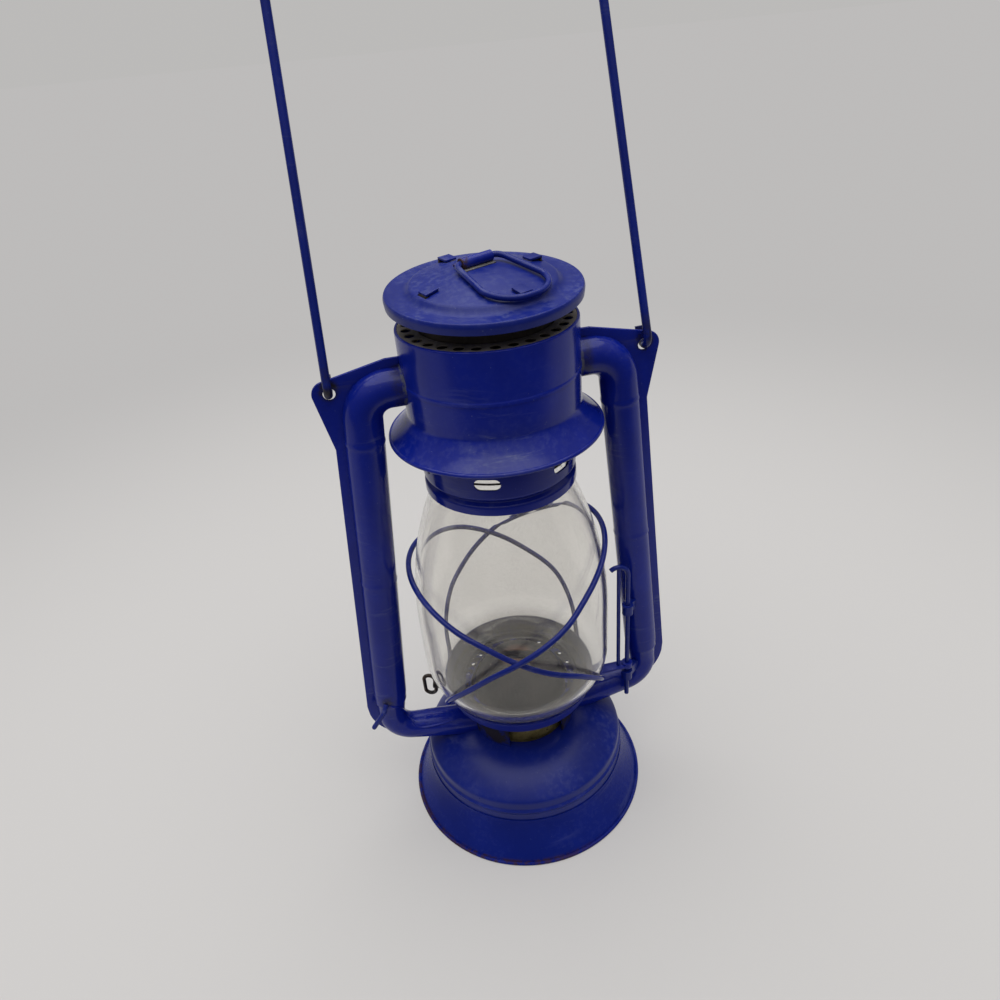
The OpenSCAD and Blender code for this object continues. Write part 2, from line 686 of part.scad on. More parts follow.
// Short wire soldered across the front of the left tube
module catch_wire() color(blue) {
    y = -(tube_r + catch_r + rib_h + weld);
    z = leg_low[1] + 9;
    tilt = 36;
    a = [-tube_x(z) + catch_len * sin(tilt) / 2 - 4, y, z + catch_len * cos(tilt) / 2];
    b = a + catch_len * [-sin(tilt), 0, -cos(tilt)];
    bar(a, b, catch_r);
    for (p = [a, b]) translate(p) sphere(catch_r, $fn = 32);
}

// Two eyes on the right tube, in which the lift wire slides
strap_t = 2.4;
module lift_guides() color(blue) for (z = [guide_low_z, guide_high_z]) difference() {
    union() {
        translate([lift_x, lift_y, z]) cylinder(r = lift_eye_r, h = guide_h, center = true);
        translate([lift_x, lift_y, z]) rotate(38) translate([0, -strap_t / 2, -guide_h / 2])
            cube([1.5 * tube_r, strap_t, guide_h]);
    }
    tube_run(tube_r + weld);
    translate([lift_x, lift_y, z]) cylinder(r = lift_wire_r + fit, h = 2 * guide_h, center = true);
    translate([tube_x(z), -tube_r, z - guide_h]) cube([3 * tube_r, 3 * tube_r, 2 * guide_h]);
    translate([tube_x(z) - tube_r / 2, -tube_r / 4, z - guide_h]) cube([3 * tube_r, 3 * tube_r, 2 * guide_h]);
}

// Globe carriage

module globe_plate() color(blue) difference() {
    union() {
        revolve([[plate_hole_in_r, plate_z], [plate_r, plate_z], [plate_rim_r, plate_z + plate_rim_h],
            [plate_rim_r - sheet, plate_z + plate_rim_h], [plate_r - sheet, plate_z + sheet],
            [plate_hole_in_r, plate_z + sheet]]);
        // Ear that carries the lift wire
        difference() {
            translate([0, lift_y - ear_w / 2, ear_z]) cube([lift_x, ear_w, ear_t]);
            translate([0, 0, plate_z - 1])
                cylinder(r1 = plate_r - sheet / 2, r2 = plate_rim_r - sheet / 2, h = plate_rim_h + 1);
        }
        translate([lift_x, lift_y, ear_z - ear_t]) cylinder(r = lift_eye_r, h = 3 * ear_t);
    }
    translate([lift_x, lift_y, ear_z - ear_w]) cylinder(r = lift_wire_r + weld, h = 2 * ear_w);
    for (i = [0:plate_holes - 1]) rotate(360 * (i + 0.5) / plate_holes)
        translate([plate_hole_in_r + 2, 0, plate_z - 1]) cylinder(r = plate_hole_r, h = 3, $fn = 24);
}

// Wire that slides in the guides, with a finger hook turned towards the globe
module lift_wire() color(blue) {
    top_z = guide_high_z + lift_grip;
    hook_turn = 5;
    translate([lift_x, lift_y, lift_foot_z]) cylinder(r = lift_wire_r, h = top_z - lift_foot_z, $fn = 32);
    translate([lift_x - hook_turn, lift_y, top_z]) rotate([90, 0, 0]) hoop(hook_turn, lift_wire_r, 130);
    translate([lift_x, lift_y, lift_foot_z]) sphere(lift_wire_r, $fn = 32);
}

globe_steps = 12;
globe_path = concat([[foot_r, 0]],
    [for (i = [0:globe_steps]) let (d = belly_drop * (1 - i / globe_steps))
        [belly_r - arc_in(low_sweep, d), belly_low - d]],
    [for (i = [0:globe_steps]) let (d = (neck_z - belly_high) * i / globe_steps)
        [belly_r - arc_in(high_sweep, d), belly_high + d]],
    [[neck_r, globe_h]]);

// A guard wire runs round the globe in a wave whose lowest point would lie at heading low.
// Its ends are soldered to the plate's rim, first and last degrees from there.
guard_rings = 56;
guard_end_r = plate_rim_r + guard_wire_r + weld;
guard_end_z = plate_z + plate_rim_h - 2;
guard_blend = 36;
guard_room = guard_gap + 2 * guard_wire_r + weld;
// Where the wires cross, one bows in by over and the other out
cross_at = 88;
function guard_point(low, over, drop, t, end) = let (
    s = smooth(end / guard_blend),
    bow = over * smooth(2.6 - abs(abs(180 - t) - cross_at) / 10),
    wave = globe_z + guard_mid - drop - (guard_swing - drop) * cos(t) - guard_dip * cos(2 * t),
    z = guard_end_z + (wave - guard_end_z) * s,
    out = guard_end_r + (globe_r(z) + guard_room + bow - guard_end_r) * s,
    r = max(out, globe_r(z) + 1.8 * guard_wire_r * (1 - s) + (guard_wire_r + guard_gap) * s))
    [r * cos(low + t), r * sin(low + t), z];

module guard_wire(low, over, drop, first, last) {
    span = 360 - first - last;
    p = [for (i = [0:guard_rings]) let (d = span * i / guard_rings)
        guard_point(low, over, drop, first + d, min(d, span - d))];
    swept(p, [for (q = p) [q[0], q[1], 0]], guard_wire_r, 8);
}

module guard_wire_left() color(blue) guard_wire(180, 1.15 * guard_wire_r, 0, guard_front, guard_back);

module guard_wire_right() color(blue)
    guard_wire(-guard_turn, -guard_wire_r, guard_drop, guard_back, guard_front);

module globe() color(clear_glass) translate([0, 0, globe_z]) revolve(sheet_on(globe_path, glass_t));

// Bell, canopy and drum

// The groove's underside slopes, and starts where it lies a seat's gap above the globe's outer edge
groove_slope = 0.75;
groove_z = globe_top_z + seat + sheet * sqrt(1 + pow(groove_slope, 2)) - groove_slope * (bell_r - neck_r);
bell_wall_z = bell_z + bell_wall_h;
bell_cone_h = 3;
// Collar of the bell that grips the chimney
bell_collar_r = chimney_r + weld + sheet;
bell_collar_h = 2;

module bell() color(blue) difference() {
    groove_h = groove_slope * groove_d;
    path = [[bell_r, bell_z], [bell_r, groove_z], [bell_r - groove_d, groove_z + groove_h],
        [bell_r - groove_d, groove_z + groove_h + 0.5], [bell_r, groove_z + 2 * groove_h + 0.5],
        [bell_r, bell_wall_z], [bell_r - 1.5, bell_wall_z + bell_cone_h / 2],
        [bell_collar_r, bell_wall_z + bell_cone_h],
        [bell_collar_r, bell_wall_z + bell_cone_h + bell_collar_h]];
    revolve(sheet_on(path, sheet));
    for (i = [0:bell_slots - 1]) rotate(slot_yaw + 360 * i / bell_slots)
        translate([bell_r, 0, bell_z + slot_up]) rotate([0, 90, 0])
        linear_extrude(4 * sheet, center = true) union() {
            square([slot_h, slot_w - slot_h], center = true);
            for (s = [-1, 1]) translate([0, s * (slot_w - slot_h) / 2]) circle(slot_h / 2, $fn = 32);
        }
}

module stub_holes(gap) {
    for (s = [0, 180]) rotate(s) translate([0, 0, tube_top_z]) rotate([0, 90, 0]) {
        cylinder(r = tube_r + gap, h = 2 * drum_r);
        translate([-fin_out - gap, -fin_t / 2 - gap, drum_r / 2])
            cube([fin_out + gap, fin_t + 2 * gap, drum_r]);
    }
}

module canopy() color(blue) difference() {
    steps = 8;
    lip = 0.9;
    path = concat(
        [for (i = [0:steps]) let (t = i / steps)
            [drum_r + brim_out * pow(1 - t, 1.35), canopy_z + brim_h * t]],
        [[drum_r, seam_z - weld]]);
    union() {
        revolve(sheet_on(path, sheet));
        translate([0, 0, canopy_z]) hoop(drum_r + brim_out - lip, lip);
    }
    stub_holes(weld);
}

module air_drum() color(blue) difference() {
    step = 0.25;
    path = [[drum_r + step, seam_z], [drum_r + step, seam_z + 1], [drum_r, seam_z + 1.5],
        [drum_r, drum_top_z - 0.6], [drum_r - 0.5, drum_top_z], [drum_r - 1.3, drum_top_z]];
    revolve(sheet_on(path, sheet));
    stub_holes(weld);
}

module inlet_ring() color(soot) translate([0, 0, drum_top_z - sheet - weld]) difference() {
    translate([0, 0, -sheet]) cylinder(r = drum_in_r - weld, h = sheet);
    translate([0, 0, -1 - sheet]) cylinder(r = chimney_r + slack, h = sheet + 2);
    for (i = [0:inlet_holes - 1]) rotate(360 * i / inlet_holes)
        translate([drum_r - inlet_in, 0, -1 - sheet]) cylinder(r = inlet_hole_r, h = sheet + 2, $fn = 32);
}

// Crown spring between the bell and the inlet ring
spring_low_z = bell_wall_z + bell_cone_h + seat + spring_wire_r;
spring_high_z = drum_top_z - 2 * sheet - weld - seat - spring_wire_r;
spring_r = (chimney_r + drum_in_r) / 2;
spring_rings = 8 * spring_curls;
spring_points = [for (i = [0:spring_rings]) let (a = 360 * i / 8)
    [spring_r * cos(a), spring_r * sin(a), spring_low_z + (spring_high_z - spring_low_z) * i / spring_rings]];
spring_pitch = min([for (i = [0:spring_rings - 8]) norm(spring_points[i + 8] - spring_points[i])]);
echo(crown_spring_least_gap = spring_pitch - 2 * spring_wire_r);

module crown_spring() color(dark_steel)
    swept(spring_points, [for (q = spring_points) [q[0], q[1], 0]], spring_wire_r, 6);

// Chimney, standing in the bell's top, with four tabs folded over the cap

cap_step_r = chimney_r + 1;
cap_slope = atan((cap_crown_h - cap_step_h) / (cap_step_r - cap_flat_r));
tab_count = 4;

module on_cap() {
    translate([0, 0, cap_z]) rotate([cap_lean, 0, 0]) rotate(crown_yaw) children();
}

// Height of the cap's sloping crown above its rim, at radius r
function crown_z(r) = cap_crown_h - (max(r, cap_flat_r) - cap_flat_r) * tan(cap_slope);
tab_mid_r = chimney_r - sheet / 2;

module chimney() color(soot) {
    foot_z = bell_wall_z + bell_cone_h / 4;
    revolve([[chimney_r - sheet, foot_z], [chimney_r, foot_z], [chimney_r, chimney_top_z],
        [chimney_r - sheet, chimney_top_z]]);
    for (i = [0:tab_count - 1]) {
        heading = crown_yaw + 360 * i / tab_count;
        surface = cap_z + tab_mid_r * sin(heading) * tan(cap_lean) + crown_z(tab_mid_r) / cos(cap_lean);
        rotate(heading) translate([chimney_r - sheet, -tab_w / 2, chimney_top_z - 3])
            cube([sheet, tab_w, surface + 0.7 - chimney_top_z + 3]);
        on_cap() rotate(360 * i / tab_count) translate([tab_mid_r + 1, 0, crown_z(tab_mid_r + 1) + 0.2])
            rotate([0, cap_slope, 0]) translate([-5.5, -tab_w / 2, 0]) cube([5.5, tab_w, sheet]);
    }
}

module cap() color(blue) on_cap() difference() {
    round_r = 1.4;
    path = concat([[cap_r - 0.3, -cap_lip]], arc([cap_r - round_r, -round_r / 2], round_r, 0, 80, 4),
        [[cap_step_r + 2.4, 0.4], [cap_step_r + 0.2, crown_z(cap_step_r)], [cap_flat_r, cap_crown_h],
        [0, cap_crown_h]]);
    revolve(sheet_on(path, sheet));
    for (i = [0:tab_count - 1]) rotate(360 * i / tab_count)
        translate([tab_mid_r - 1.3, -tab_w / 2 - 0.3, -4]) cube([2.6, tab_w + 0.6, 2 * cap_crown_h]);
}

// Rolled lug on the cap, in which the finger ring turns

ring_bore_r = ring_wire_r + fit;
ring_lug_r = ring_bore_r + sheet;
ring_hinge_z = cap_crown_h + ring_lug_r + weld;

module ring_lug() color(blue) on_cap() translate([0, ring_lug_back, 0]) difference() {
    union() {
        translate([-ring_lug_len / 2, 0, ring_hinge_z]) rotate([0, 90, 0])
            cylinder(r = ring_lug_r, h = ring_lug_len, $fn = 48);
        translate([-ring_lug_len / 2, 0, cap_crown_h + weld]) cube([ring_lug_len, ring_lug_r, ring_lug_r]);
        translate([-ring_lug_len / 2, 0, cap_crown_h + weld]) cube([ring_lug_len, ring_lug_r + 3, sheet]);
    }
    translate([-ring_lug_len, 0, ring_hinge_z]) rotate([0, 90, 0])
        cylinder(r = ring_bore_r, h = 2 * ring_lug_len, $fn = 48);
}

module finger_ring() color(blue) on_cap()
        translate([ring_shift, ring_lug_back, ring_hinge_z]) rotate([ring_droop, 0, 0]) {
    half = ring_w / 2;
    hinge_corner = 3;
    rotate([0, 90, 0]) cylinder(r = ring_wire_r, h = 2 * (half - hinge_corner), center = true, $fn = 32);
    for (s = [-1, 1]) {
        bar([s * half, -hinge_corner, 0], [s * half, -ring_d + ring_corner, 0], ring_wire_r);
        translate([s * (half - hinge_corner), -hinge_corner, 0]) rotate(s > 0 ? 0 : 90)
            hoop(hinge_corner, ring_wire_r, 90);
        translate([s * (half - ring_corner), -ring_d + ring_corner, 0]) rotate(s > 0 ? -90 : 180)
            hoop(ring_corner, ring_wire_r, 90);
    }
    translate([0, -ring_d, 0]) rotate([0, 90, 0])
        cylinder(r = ring_wire_r, h = 2 * (half - ring_corner), center = true, $fn = 32);
}

// Bail: an arch on two straight sides, hooked from the front through the lugs

bail_top_r = (lug[0] - bail_side * sin(bail_taper)) / cos(bail_taper);

module bail() color(blue) translate([0, 0, bail_pivot_z]) rotate([-bail_lean, 0, 0]) {
    for (s = [0, 1]) mirror([s, 0, 0]) translate([lug[0], 0, 0]) rotate([0, -bail_taper, 0]) {
        translate([0, -hook_r, 0]) cylinder(r = bail_wire_r, h = bail_side + bend_lap, $fn = 32);
        rotate([0, 90, 0]) rotate(-90) hoop(hook_r, bail_wire_r, 180);
        translate([0, hook_r, 0]) cylinder(r = bail_wire_r, h = hook_tail, $fn = 32);
    }
    arch_z = bail_side * cos(bail_taper) - bail_top_r * sin(bail_taper);
    translate([0, -hook_r, arch_z]) rotate([90, 0, 0]) rotate(bail_taper)
        hoop(bail_top_r, bail_wire_r + bend_step, 180 - 2 * bail_taper);
}

base_skirt();
tank_dome();
tank_bottom();
filler_neck();
filler_gasket();
filler_cap();
burner_collar();
burner_body();
wick_tube();
wick();
spur_wheels();
wick_spindle();
spindle_gland();
wick_key();
burner_cone();
air_chamber();
left_tube();
right_tube();
catch_wire();
lift_guides();
globe_plate();
lift_wire();
guard_wire_left();
guard_wire_right();
globe();
bell();
canopy();
air_drum();
inlet_ring();
crown_spring();
chimney();
cap();
ring_lug();
finger_ring();
bail();
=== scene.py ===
import math

import bmesh
import bpy
from mathutils import Matrix, Vector


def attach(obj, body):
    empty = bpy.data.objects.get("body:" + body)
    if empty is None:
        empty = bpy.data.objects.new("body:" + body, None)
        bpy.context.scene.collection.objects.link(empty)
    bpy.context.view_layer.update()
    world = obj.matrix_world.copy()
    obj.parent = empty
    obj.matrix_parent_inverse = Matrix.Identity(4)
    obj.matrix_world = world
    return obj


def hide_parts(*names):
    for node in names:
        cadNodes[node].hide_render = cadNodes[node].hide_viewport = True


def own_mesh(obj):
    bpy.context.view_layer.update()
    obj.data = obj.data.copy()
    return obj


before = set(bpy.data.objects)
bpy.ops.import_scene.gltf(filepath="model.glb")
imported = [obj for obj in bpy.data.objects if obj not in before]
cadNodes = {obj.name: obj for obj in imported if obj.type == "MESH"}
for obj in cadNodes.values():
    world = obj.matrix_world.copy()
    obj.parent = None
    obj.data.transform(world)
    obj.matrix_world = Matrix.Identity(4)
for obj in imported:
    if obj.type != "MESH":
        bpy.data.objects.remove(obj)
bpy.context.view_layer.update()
mm = 0.001
print("frame loaded:", len(cadNodes), "nodes")


# sockets and nodes

class Flow:  # a socket, or a bare node tree, from which sums and further nodes grow
    def __init__(self, tree, socket=None):
        self.tree, self.socket = tree, socket

    def node(self, kind, settings=None, inputs=None, out=0):
        fresh = self.tree.nodes.new(kind)
        for key, value in (settings or {}).items():
            if key == "stops":
                ramp = fresh.color_ramp.elements
                while len(ramp) < len(value):
                    ramp.new(1.0)
                for stop, (spot, shade) in zip(ramp, value):
                    stop.position, stop.color = spot, shade
            else:
                setattr(fresh, key, value)
        for key, value in (inputs or {}).items():
            if isinstance(value, Flow):
                self.tree.links.new(value.socket, fresh.inputs[key])
            else:
                fresh.inputs[key].default_value = value
        return Flow(self.tree, fresh.outputs[out])

    def sum(self, kind, other, swapped=False):
        first, second = (other, self) if swapped else (self, other)
        return self.node("ShaderNodeMath", {"operation": kind}, {0: first, 1: second})

    def __add__(self, other): return self.sum("ADD", other)
    def __radd__(self, other): return self.sum("ADD", other)
    def __sub__(self, other): return self.sum("SUBTRACT", other)
    def __rsub__(self, other): return self.sum("SUBTRACT", other, True)
    def __mul__(self, other): return self.sum("MULTIPLY", other)
    def __rmul__(self, other): return self.sum("MULTIPLY", other)
    def __truediv__(self, other): return self.sum("DIVIDE", other)
    def __pow__(self, other): return self.sum("POWER", other)
    def least(self, other): return self.sum("MINIMUM", other)
    def most(self, other): return self.sum("MAXIMUM", other)
    def size(self): return self.node("ShaderNodeMath", {"operation": "ABSOLUTE"}, {0: self})

    def rise(self, low, high):  # 0 below low, 1 above high, smooth between
        return self.node("ShaderNodeMapRange", {"interpolation_type": "SMOOTHSTEP"},
                         {"Value": self, "From Min": low, "From Max": high})

    def fall(self, low, high):
        return 1 - self.rise(low, high)

    def between(self, low, full, fading, gone):  # 1 from full to fading, 0 outside low and gone
        return self.rise(low, full) * self.fall(fading, gone)

    def span(self, other):  # length of a line that runs this far one way and other across
        return (self ** 2.0 + other ** 2.0) ** 0.5

    def tint(self, plain, covered):  # plain where this is 0, covered where it is 1
        return self.node("ShaderNodeMix", {"data_type": "RGBA"}, {0: self, 6: plain, 7: covered}, 2)

    def inView(self):  # 1 for what the camera sees straight or through the glass
        camera = self.node("ShaderNodeLightPath", out="Is Camera Ray")
        return camera.most(self.node("ShaderNodeLightPath", out="Is Transmission Ray"))


class Surface(Flow):  # a material's tree, with the patterns that the finishes share
    def __init__(self, name):
        self.material = bpy.data.materials.new(name)
        self.material.use_nodes = True
        super().__init__(self.material.node_tree)
        self.tree.nodes.clear()
        self.place = self.node("ShaderNodeTexCoord", out=3)
        self.x, self.y, self.z = (self.node("ShaderNodeSeparateXYZ", None, {0: self.place}, i) for i in range(3))

    def noise(self, scale, detail=4.0, rough=0.55, stretch=None, twist=0.0):
        spot = self.place
        if stretch:
            spot = self.node("ShaderNodeMapping", None, {"Vector": spot, "Scale": stretch})
        return self.node("ShaderNodeTexNoise", None, {"Vector": spot, "Scale": scale, "Detail": detail,
                                                      "Roughness": rough, "Distortion": twist})

    def specks(self, scale, reach):  # round dots at random places
        gap = self.node("ShaderNodeTexVoronoi", None, {"Vector": self.place, "Scale": scale, "Randomness": 1.0})
        return gap.fall(reach * 0.6, reach)

    def upward(self):
        normal = self.node("ShaderNodeNewGeometry", out=1)
        return self.node("ShaderNodeSeparateXYZ", None, {0: normal}, 2)

    def near(self, spot, low, high, place=None):  # 1 within low of a point, 0 beyond high
        gap = self.node("ShaderNodeVectorMath", {"operation": "DISTANCE"}, {0: place or self.place, 1: spot}, 1)
        return gap.fall(low, high)

    def bump(self, height, strength, depth):
        return self.node("ShaderNodeBump", None, {"Height": height, "Strength": strength, "Distance": depth})

    def shader(self, values):
        return self.node("ShaderNodeBsdfPrincipled", None, values)

    def done(self, shader):
        sink = self.tree.nodes.new("ShaderNodeOutputMaterial")
        self.tree.links.new(shader.socket, sink.inputs[0])
        return self.material


# finishes

enamel = {
    "body": ((0.0036, 0.0122, 0.220, 1), (0.0050, 0.0165, 0.285, 1)),
    "crown": ((0.0040, 0.0125, 0.165, 1), (0.0056, 0.0170, 0.215, 1)),
    "dust": (0.21, 0.235, 0.34, 1), "bare": (0.32, 0.31, 0.31, 1),
    "rust": (0.075, 0.036, 0.020, 1), "oldRust": (0.035, 0.016, 0.009, 1),
    "grime": (0.020, 0.016, 0.014, 1), "solder": (0.11, 0.115, 0.15, 1),
    "peel": 0.04, "waves": 0.9, "index": 1.34,
}


def blueEnamel(name, dusty, scuffs, gloss=0.13, index=enamel["index"], tone="body",
               rust=None, grime=None, bare=None, rubbed=None, solder=None):  # wear as functions of the surface
    paint = Surface(name)
    cloud = paint.noise(22, 5, 0.6)
    fine = paint.noise(420, 3, 0.6)
    colour = cloud.rise(0.35, 0.7).tint(*enamel[tone])
    lying = paint.upward().rise(0.1, 0.95)
    dust = (cloud.rise(0.38, 0.72) * fine.rise(0.42, 0.7) * (lying * 0.85 + 0.15)) * dusty
    motes = paint.specks(520, 0.10) * fine.rise(0.5, 0.62) * (dusty * 2.2)
    colour = (dust + motes).least(0.9).tint(colour, enamel["dust"])
    streak = paint.noise(60, 6, 0.7, stretch=(0.5, 0.5, 3.2), twist=0.6).rise(0.52, 0.68)
    rub = streak * paint.noise(30, 3, 0.5).rise(0.50, 0.68) * scuffs
    if rubbed:
        rub = rub + rubbed(paint) * (streak * 0.5 + fine * 0.12)
    colour = rub.least(0.7).tint(colour, enamel["dust"])
    rough = gloss + dust * 0.9 + fine * 0.05 + rub * 0.3
    # grime at the joints, hooks and sooty plate, and painted shade on the air chamber under the plate
    if grime:
        darkening = (grime(paint) * paint.noise(150, 5, 0.65).rise(0.36, 0.6)).least(0.92)
        colour = darkening.tint(colour, enamel["grime"])
        rough = rough + darkening * 0.2
    if solder:
        seam = solder(paint) * paint.noise(300, 4, 0.6).rise(0.36, 0.58)
        colour = seam.tint(colour, enamel["solder"])
        rough = rough + seam * 0.4
    if bare:
        worn = bare(paint) * paint.noise(260, 4, 0.6).rise(0.42, 0.5)
        colour = worn.tint(colour, enamel["bare"])
        rough = rough + worn * 0.2
    if rust:
        crust = rust(paint) * paint.noise(240, 6, 0.7).rise(0.44, 0.56)
        shade = paint.noise(500, 3, 0.5).tint(enamel["rust"], enamel["oldRust"])
        colour = crust.tint(colour, shade)
        rough = rough + crust * 0.55
    skin = paint.noise(900, 2, 0.5) * enamel["peel"] + paint.noise(34, 2, 0.4) * enamel["waves"]
    values = {"Base Color": colour, "Roughness": rough.least(0.9), "IOR": index,
              "Normal": paint.bump(skin, 0.22, 0.0009)}
    if bare:
        values["Metallic"] = worn * 0.85
    return paint.done(paint.shader(values))


def sootySteel(name, dark, pale, rusty=None):  # rusty as a point and a colour
    steel = Surface(name)
    cloud = steel.noise(70, 6, 0.65)
    fine = steel.noise(700, 4, 0.6)
    brown = cloud.rise(0.36, 0.66).tint(dark, pale)
    colour = (fine.rise(0.52, 0.7) * 0.5).tint(brown, pale)
    if rusty:
        colour = (steel.near(rusty[0], 0.003, 0.011) * cloud.rise(0.34, 0.55)).tint(colour, rusty[1])
    rough = 0.46 + cloud * 0.3
    return steel.done(steel.shader({"Base Color": colour, "Roughness": rough, "Metallic": 0.2,
                                    "Normal": steel.bump(fine + cloud, 0.3, 0.0004)}))


def darkSteel(name):
    steel = Surface(name)
    draw = steel.noise(500, 4, 0.6)
    patch = steel.noise(110, 5, 0.6)
    colour = patch.rise(0.4, 0.66).tint((0.030, 0.028, 0.029, 1), (0.085, 0.06, 0.045, 1))
    colour = draw.rise(0.55, 0.72).tint(colour, (0.17, 0.16, 0.155, 1))
    return steel.done(steel.shader({"Base Color": colour, "Roughness": 0.34 + patch * 0.3, "Metallic": 0.7,
                                    "Normal": steel.bump(draw, 0.25, 0.0003)}))


def agedBrass(name):
    brass = Surface(name)
    cloud = brass.noise(120, 6, 0.62)
    fine = brass.noise(800, 3, 0.5)
    colour = cloud.rise(0.34, 0.66).tint((0.20, 0.155, 0.045, 1), (0.44, 0.36, 0.13, 1))
    colour = (brass.noise(320, 5, 0.65).rise(0.56, 0.68) * 0.8).tint(colour, (0.05, 0.036, 0.018, 1))
    return brass.done(brass.shader({"Base Color": colour, "Roughness": 0.30 + cloud * 0.25, "Metallic": 0.85,
                                    "Normal": brass.bump(fine, 0.2, 0.0003)}))


def dustyGlass(name):
    glass = Surface(name)
    clear = glass.shader({"Base Color": (0.990, 0.983, 0.962, 1), "Roughness": 0.0, "IOR": 1.45,
                          "Transmission Weight": 1.0})
    film = glass.noise(30, 5, 0.6, stretch=(1, 1, 0.45)).rise(0.35, 0.75) * 0.035 + 0.012
    film = film + glass.z.rise(0.105, 0.140) * 0.02
    smear = glass.noise(16, 4, 0.6, stretch=(1, 1, 0.3), twist=0.8).rise(0.5, 0.7) * 0.05
    specks = glass.specks(330, 0.09) * glass.noise(60, 3, 0.5).rise(0.45, 0.6) * 0.5
    grain = glass.noise(1500, 2, 0.5).rise(0.5, 0.75) * 0.08
    # the haze is thicker and darker towards the bottom, cream above
    low = glass.z.fall(0.0665, 0.079) * 0.34
    darkening = glass.z.rise(0.068, 0.083).tint((0.16, 0.155, 0.15, 1), (0.93, 0.86, 0.76, 1))
    haze = glass.shader({"Base Color": darkening, "Roughness": 0.8})
    cover = (film + smear + specks + grain + low).least(0.8)
    return glass.done(glass.node("ShaderNodeMixShader", None, {0: cover, 1: clear, 2: haze}))


def wovenCotton(name):
    cotton = Surface(name)
    weave = cotton.node("ShaderNodeTexWave", {"bands_direction": "Z"},
                        {"Vector": cotton.place, "Scale": 320.0, "Distortion": 2.0, "Detail": 1.0}, 1)
    burnt = cotton.z.rise(0.0745, 0.0775)
    colour = weave.tint((0.52, 0.47, 0.36, 1), (0.70, 0.66, 0.54, 1))
    colour = burnt.tint(colour, (0.012, 0.010, 0.009, 1))
    return cotton.done(cotton.shader({"Base Color": colour, "Roughness": 0.95,
                                      "Normal": cotton.bump(weave, 0.6, 0.0004)}))


def blackRubber(name):
    rubber = Surface(name)
    grain = rubber.noise(900, 3, 0.6)
    colour = grain.tint((0.010, 0.010, 0.010, 1), (0.032, 0.031, 0.030, 1))
    return rubber.done(rubber.shader({"Base Color": colour, "Roughness": 0.6 + grain * 0.2,
                                      "Normal": rubber.bump(grain, 0.3, 0.0002)}))


wornSpots = {"tubeEnd": (0.0335, 0, 0.223), "lugHole": (0.060, 0, 0.2255), "stub": (-0.0630, -0.0066, 0.0735),
             "brim": (-0.004, -0.0385, 0.2045), "cone": (0, 0, 0.081)}  # in metres


def jointGrime(paint):  # dirt where the tubes enter the drum, in the lugs and round the stub
    eitherSide = paint.node("ShaderNodeCombineXYZ", None, {0: paint.x.size(), 1: paint.y, 2: paint.z})
    tubeEnd = paint.near(wornSpots["tubeEnd"], 0.0078, 0.0092, eitherSide) * 0.6
    lugHole = paint.near(wornSpots["lugHole"], 0.0025, 0.0048, eitherSide)
    return tubeEnd.most(lugHole).most(paint.near(wornSpots["stub"], 0.0012, 0.0046) * 0.8)


def jointSolder(paint):  # thin pale line round each tube where it meets the drum
    ring = paint.y.span(paint.z - wornSpots["tubeEnd"][2])
    seam = paint.x.size().between(0.031, 0.0325, 0.0336, 0.0342)
    return ring.between(0.0068, 0.0074, 0.0080, 0.0086) * seam * 0.8


def brimRub(paint):
    return paint.near(wornSpots["brim"], 0.005, 0.021)


def rimRust(paint):  # the rolled foot, mostly at the front left
    side = (0 - paint.x - paint.y * 0.8).rise(0.010, 0.055) * 0.9 + 0.05
    return (paint.z.fall(0.0008, 0.0026) * side).most(paint.z.fall(0.0004, 0.0010) * 0.8)


def lugRust(paint):
    return (0 - paint.x).rise(0.0035, 0.0062)


def hookGrime(paint):
    return paint.z.fall(0.226, 0.242) * 0.9


def tipWear(paint):
    return paint.z.fall(0.0705, 0.0735) * (0 - paint.y).rise(0.0, 0.005)


def chamberPaintedShade(paint):  # painted shade on the chamber above its foot, under the plate
    return paint.z.rise(0.041, 0.046) * 1.2


def plateSoot(paint):
    return paint.x.span(paint.y).fall(0.0330, 0.0345) * paint.upward().rise(-0.2, 0.3) * 1.3


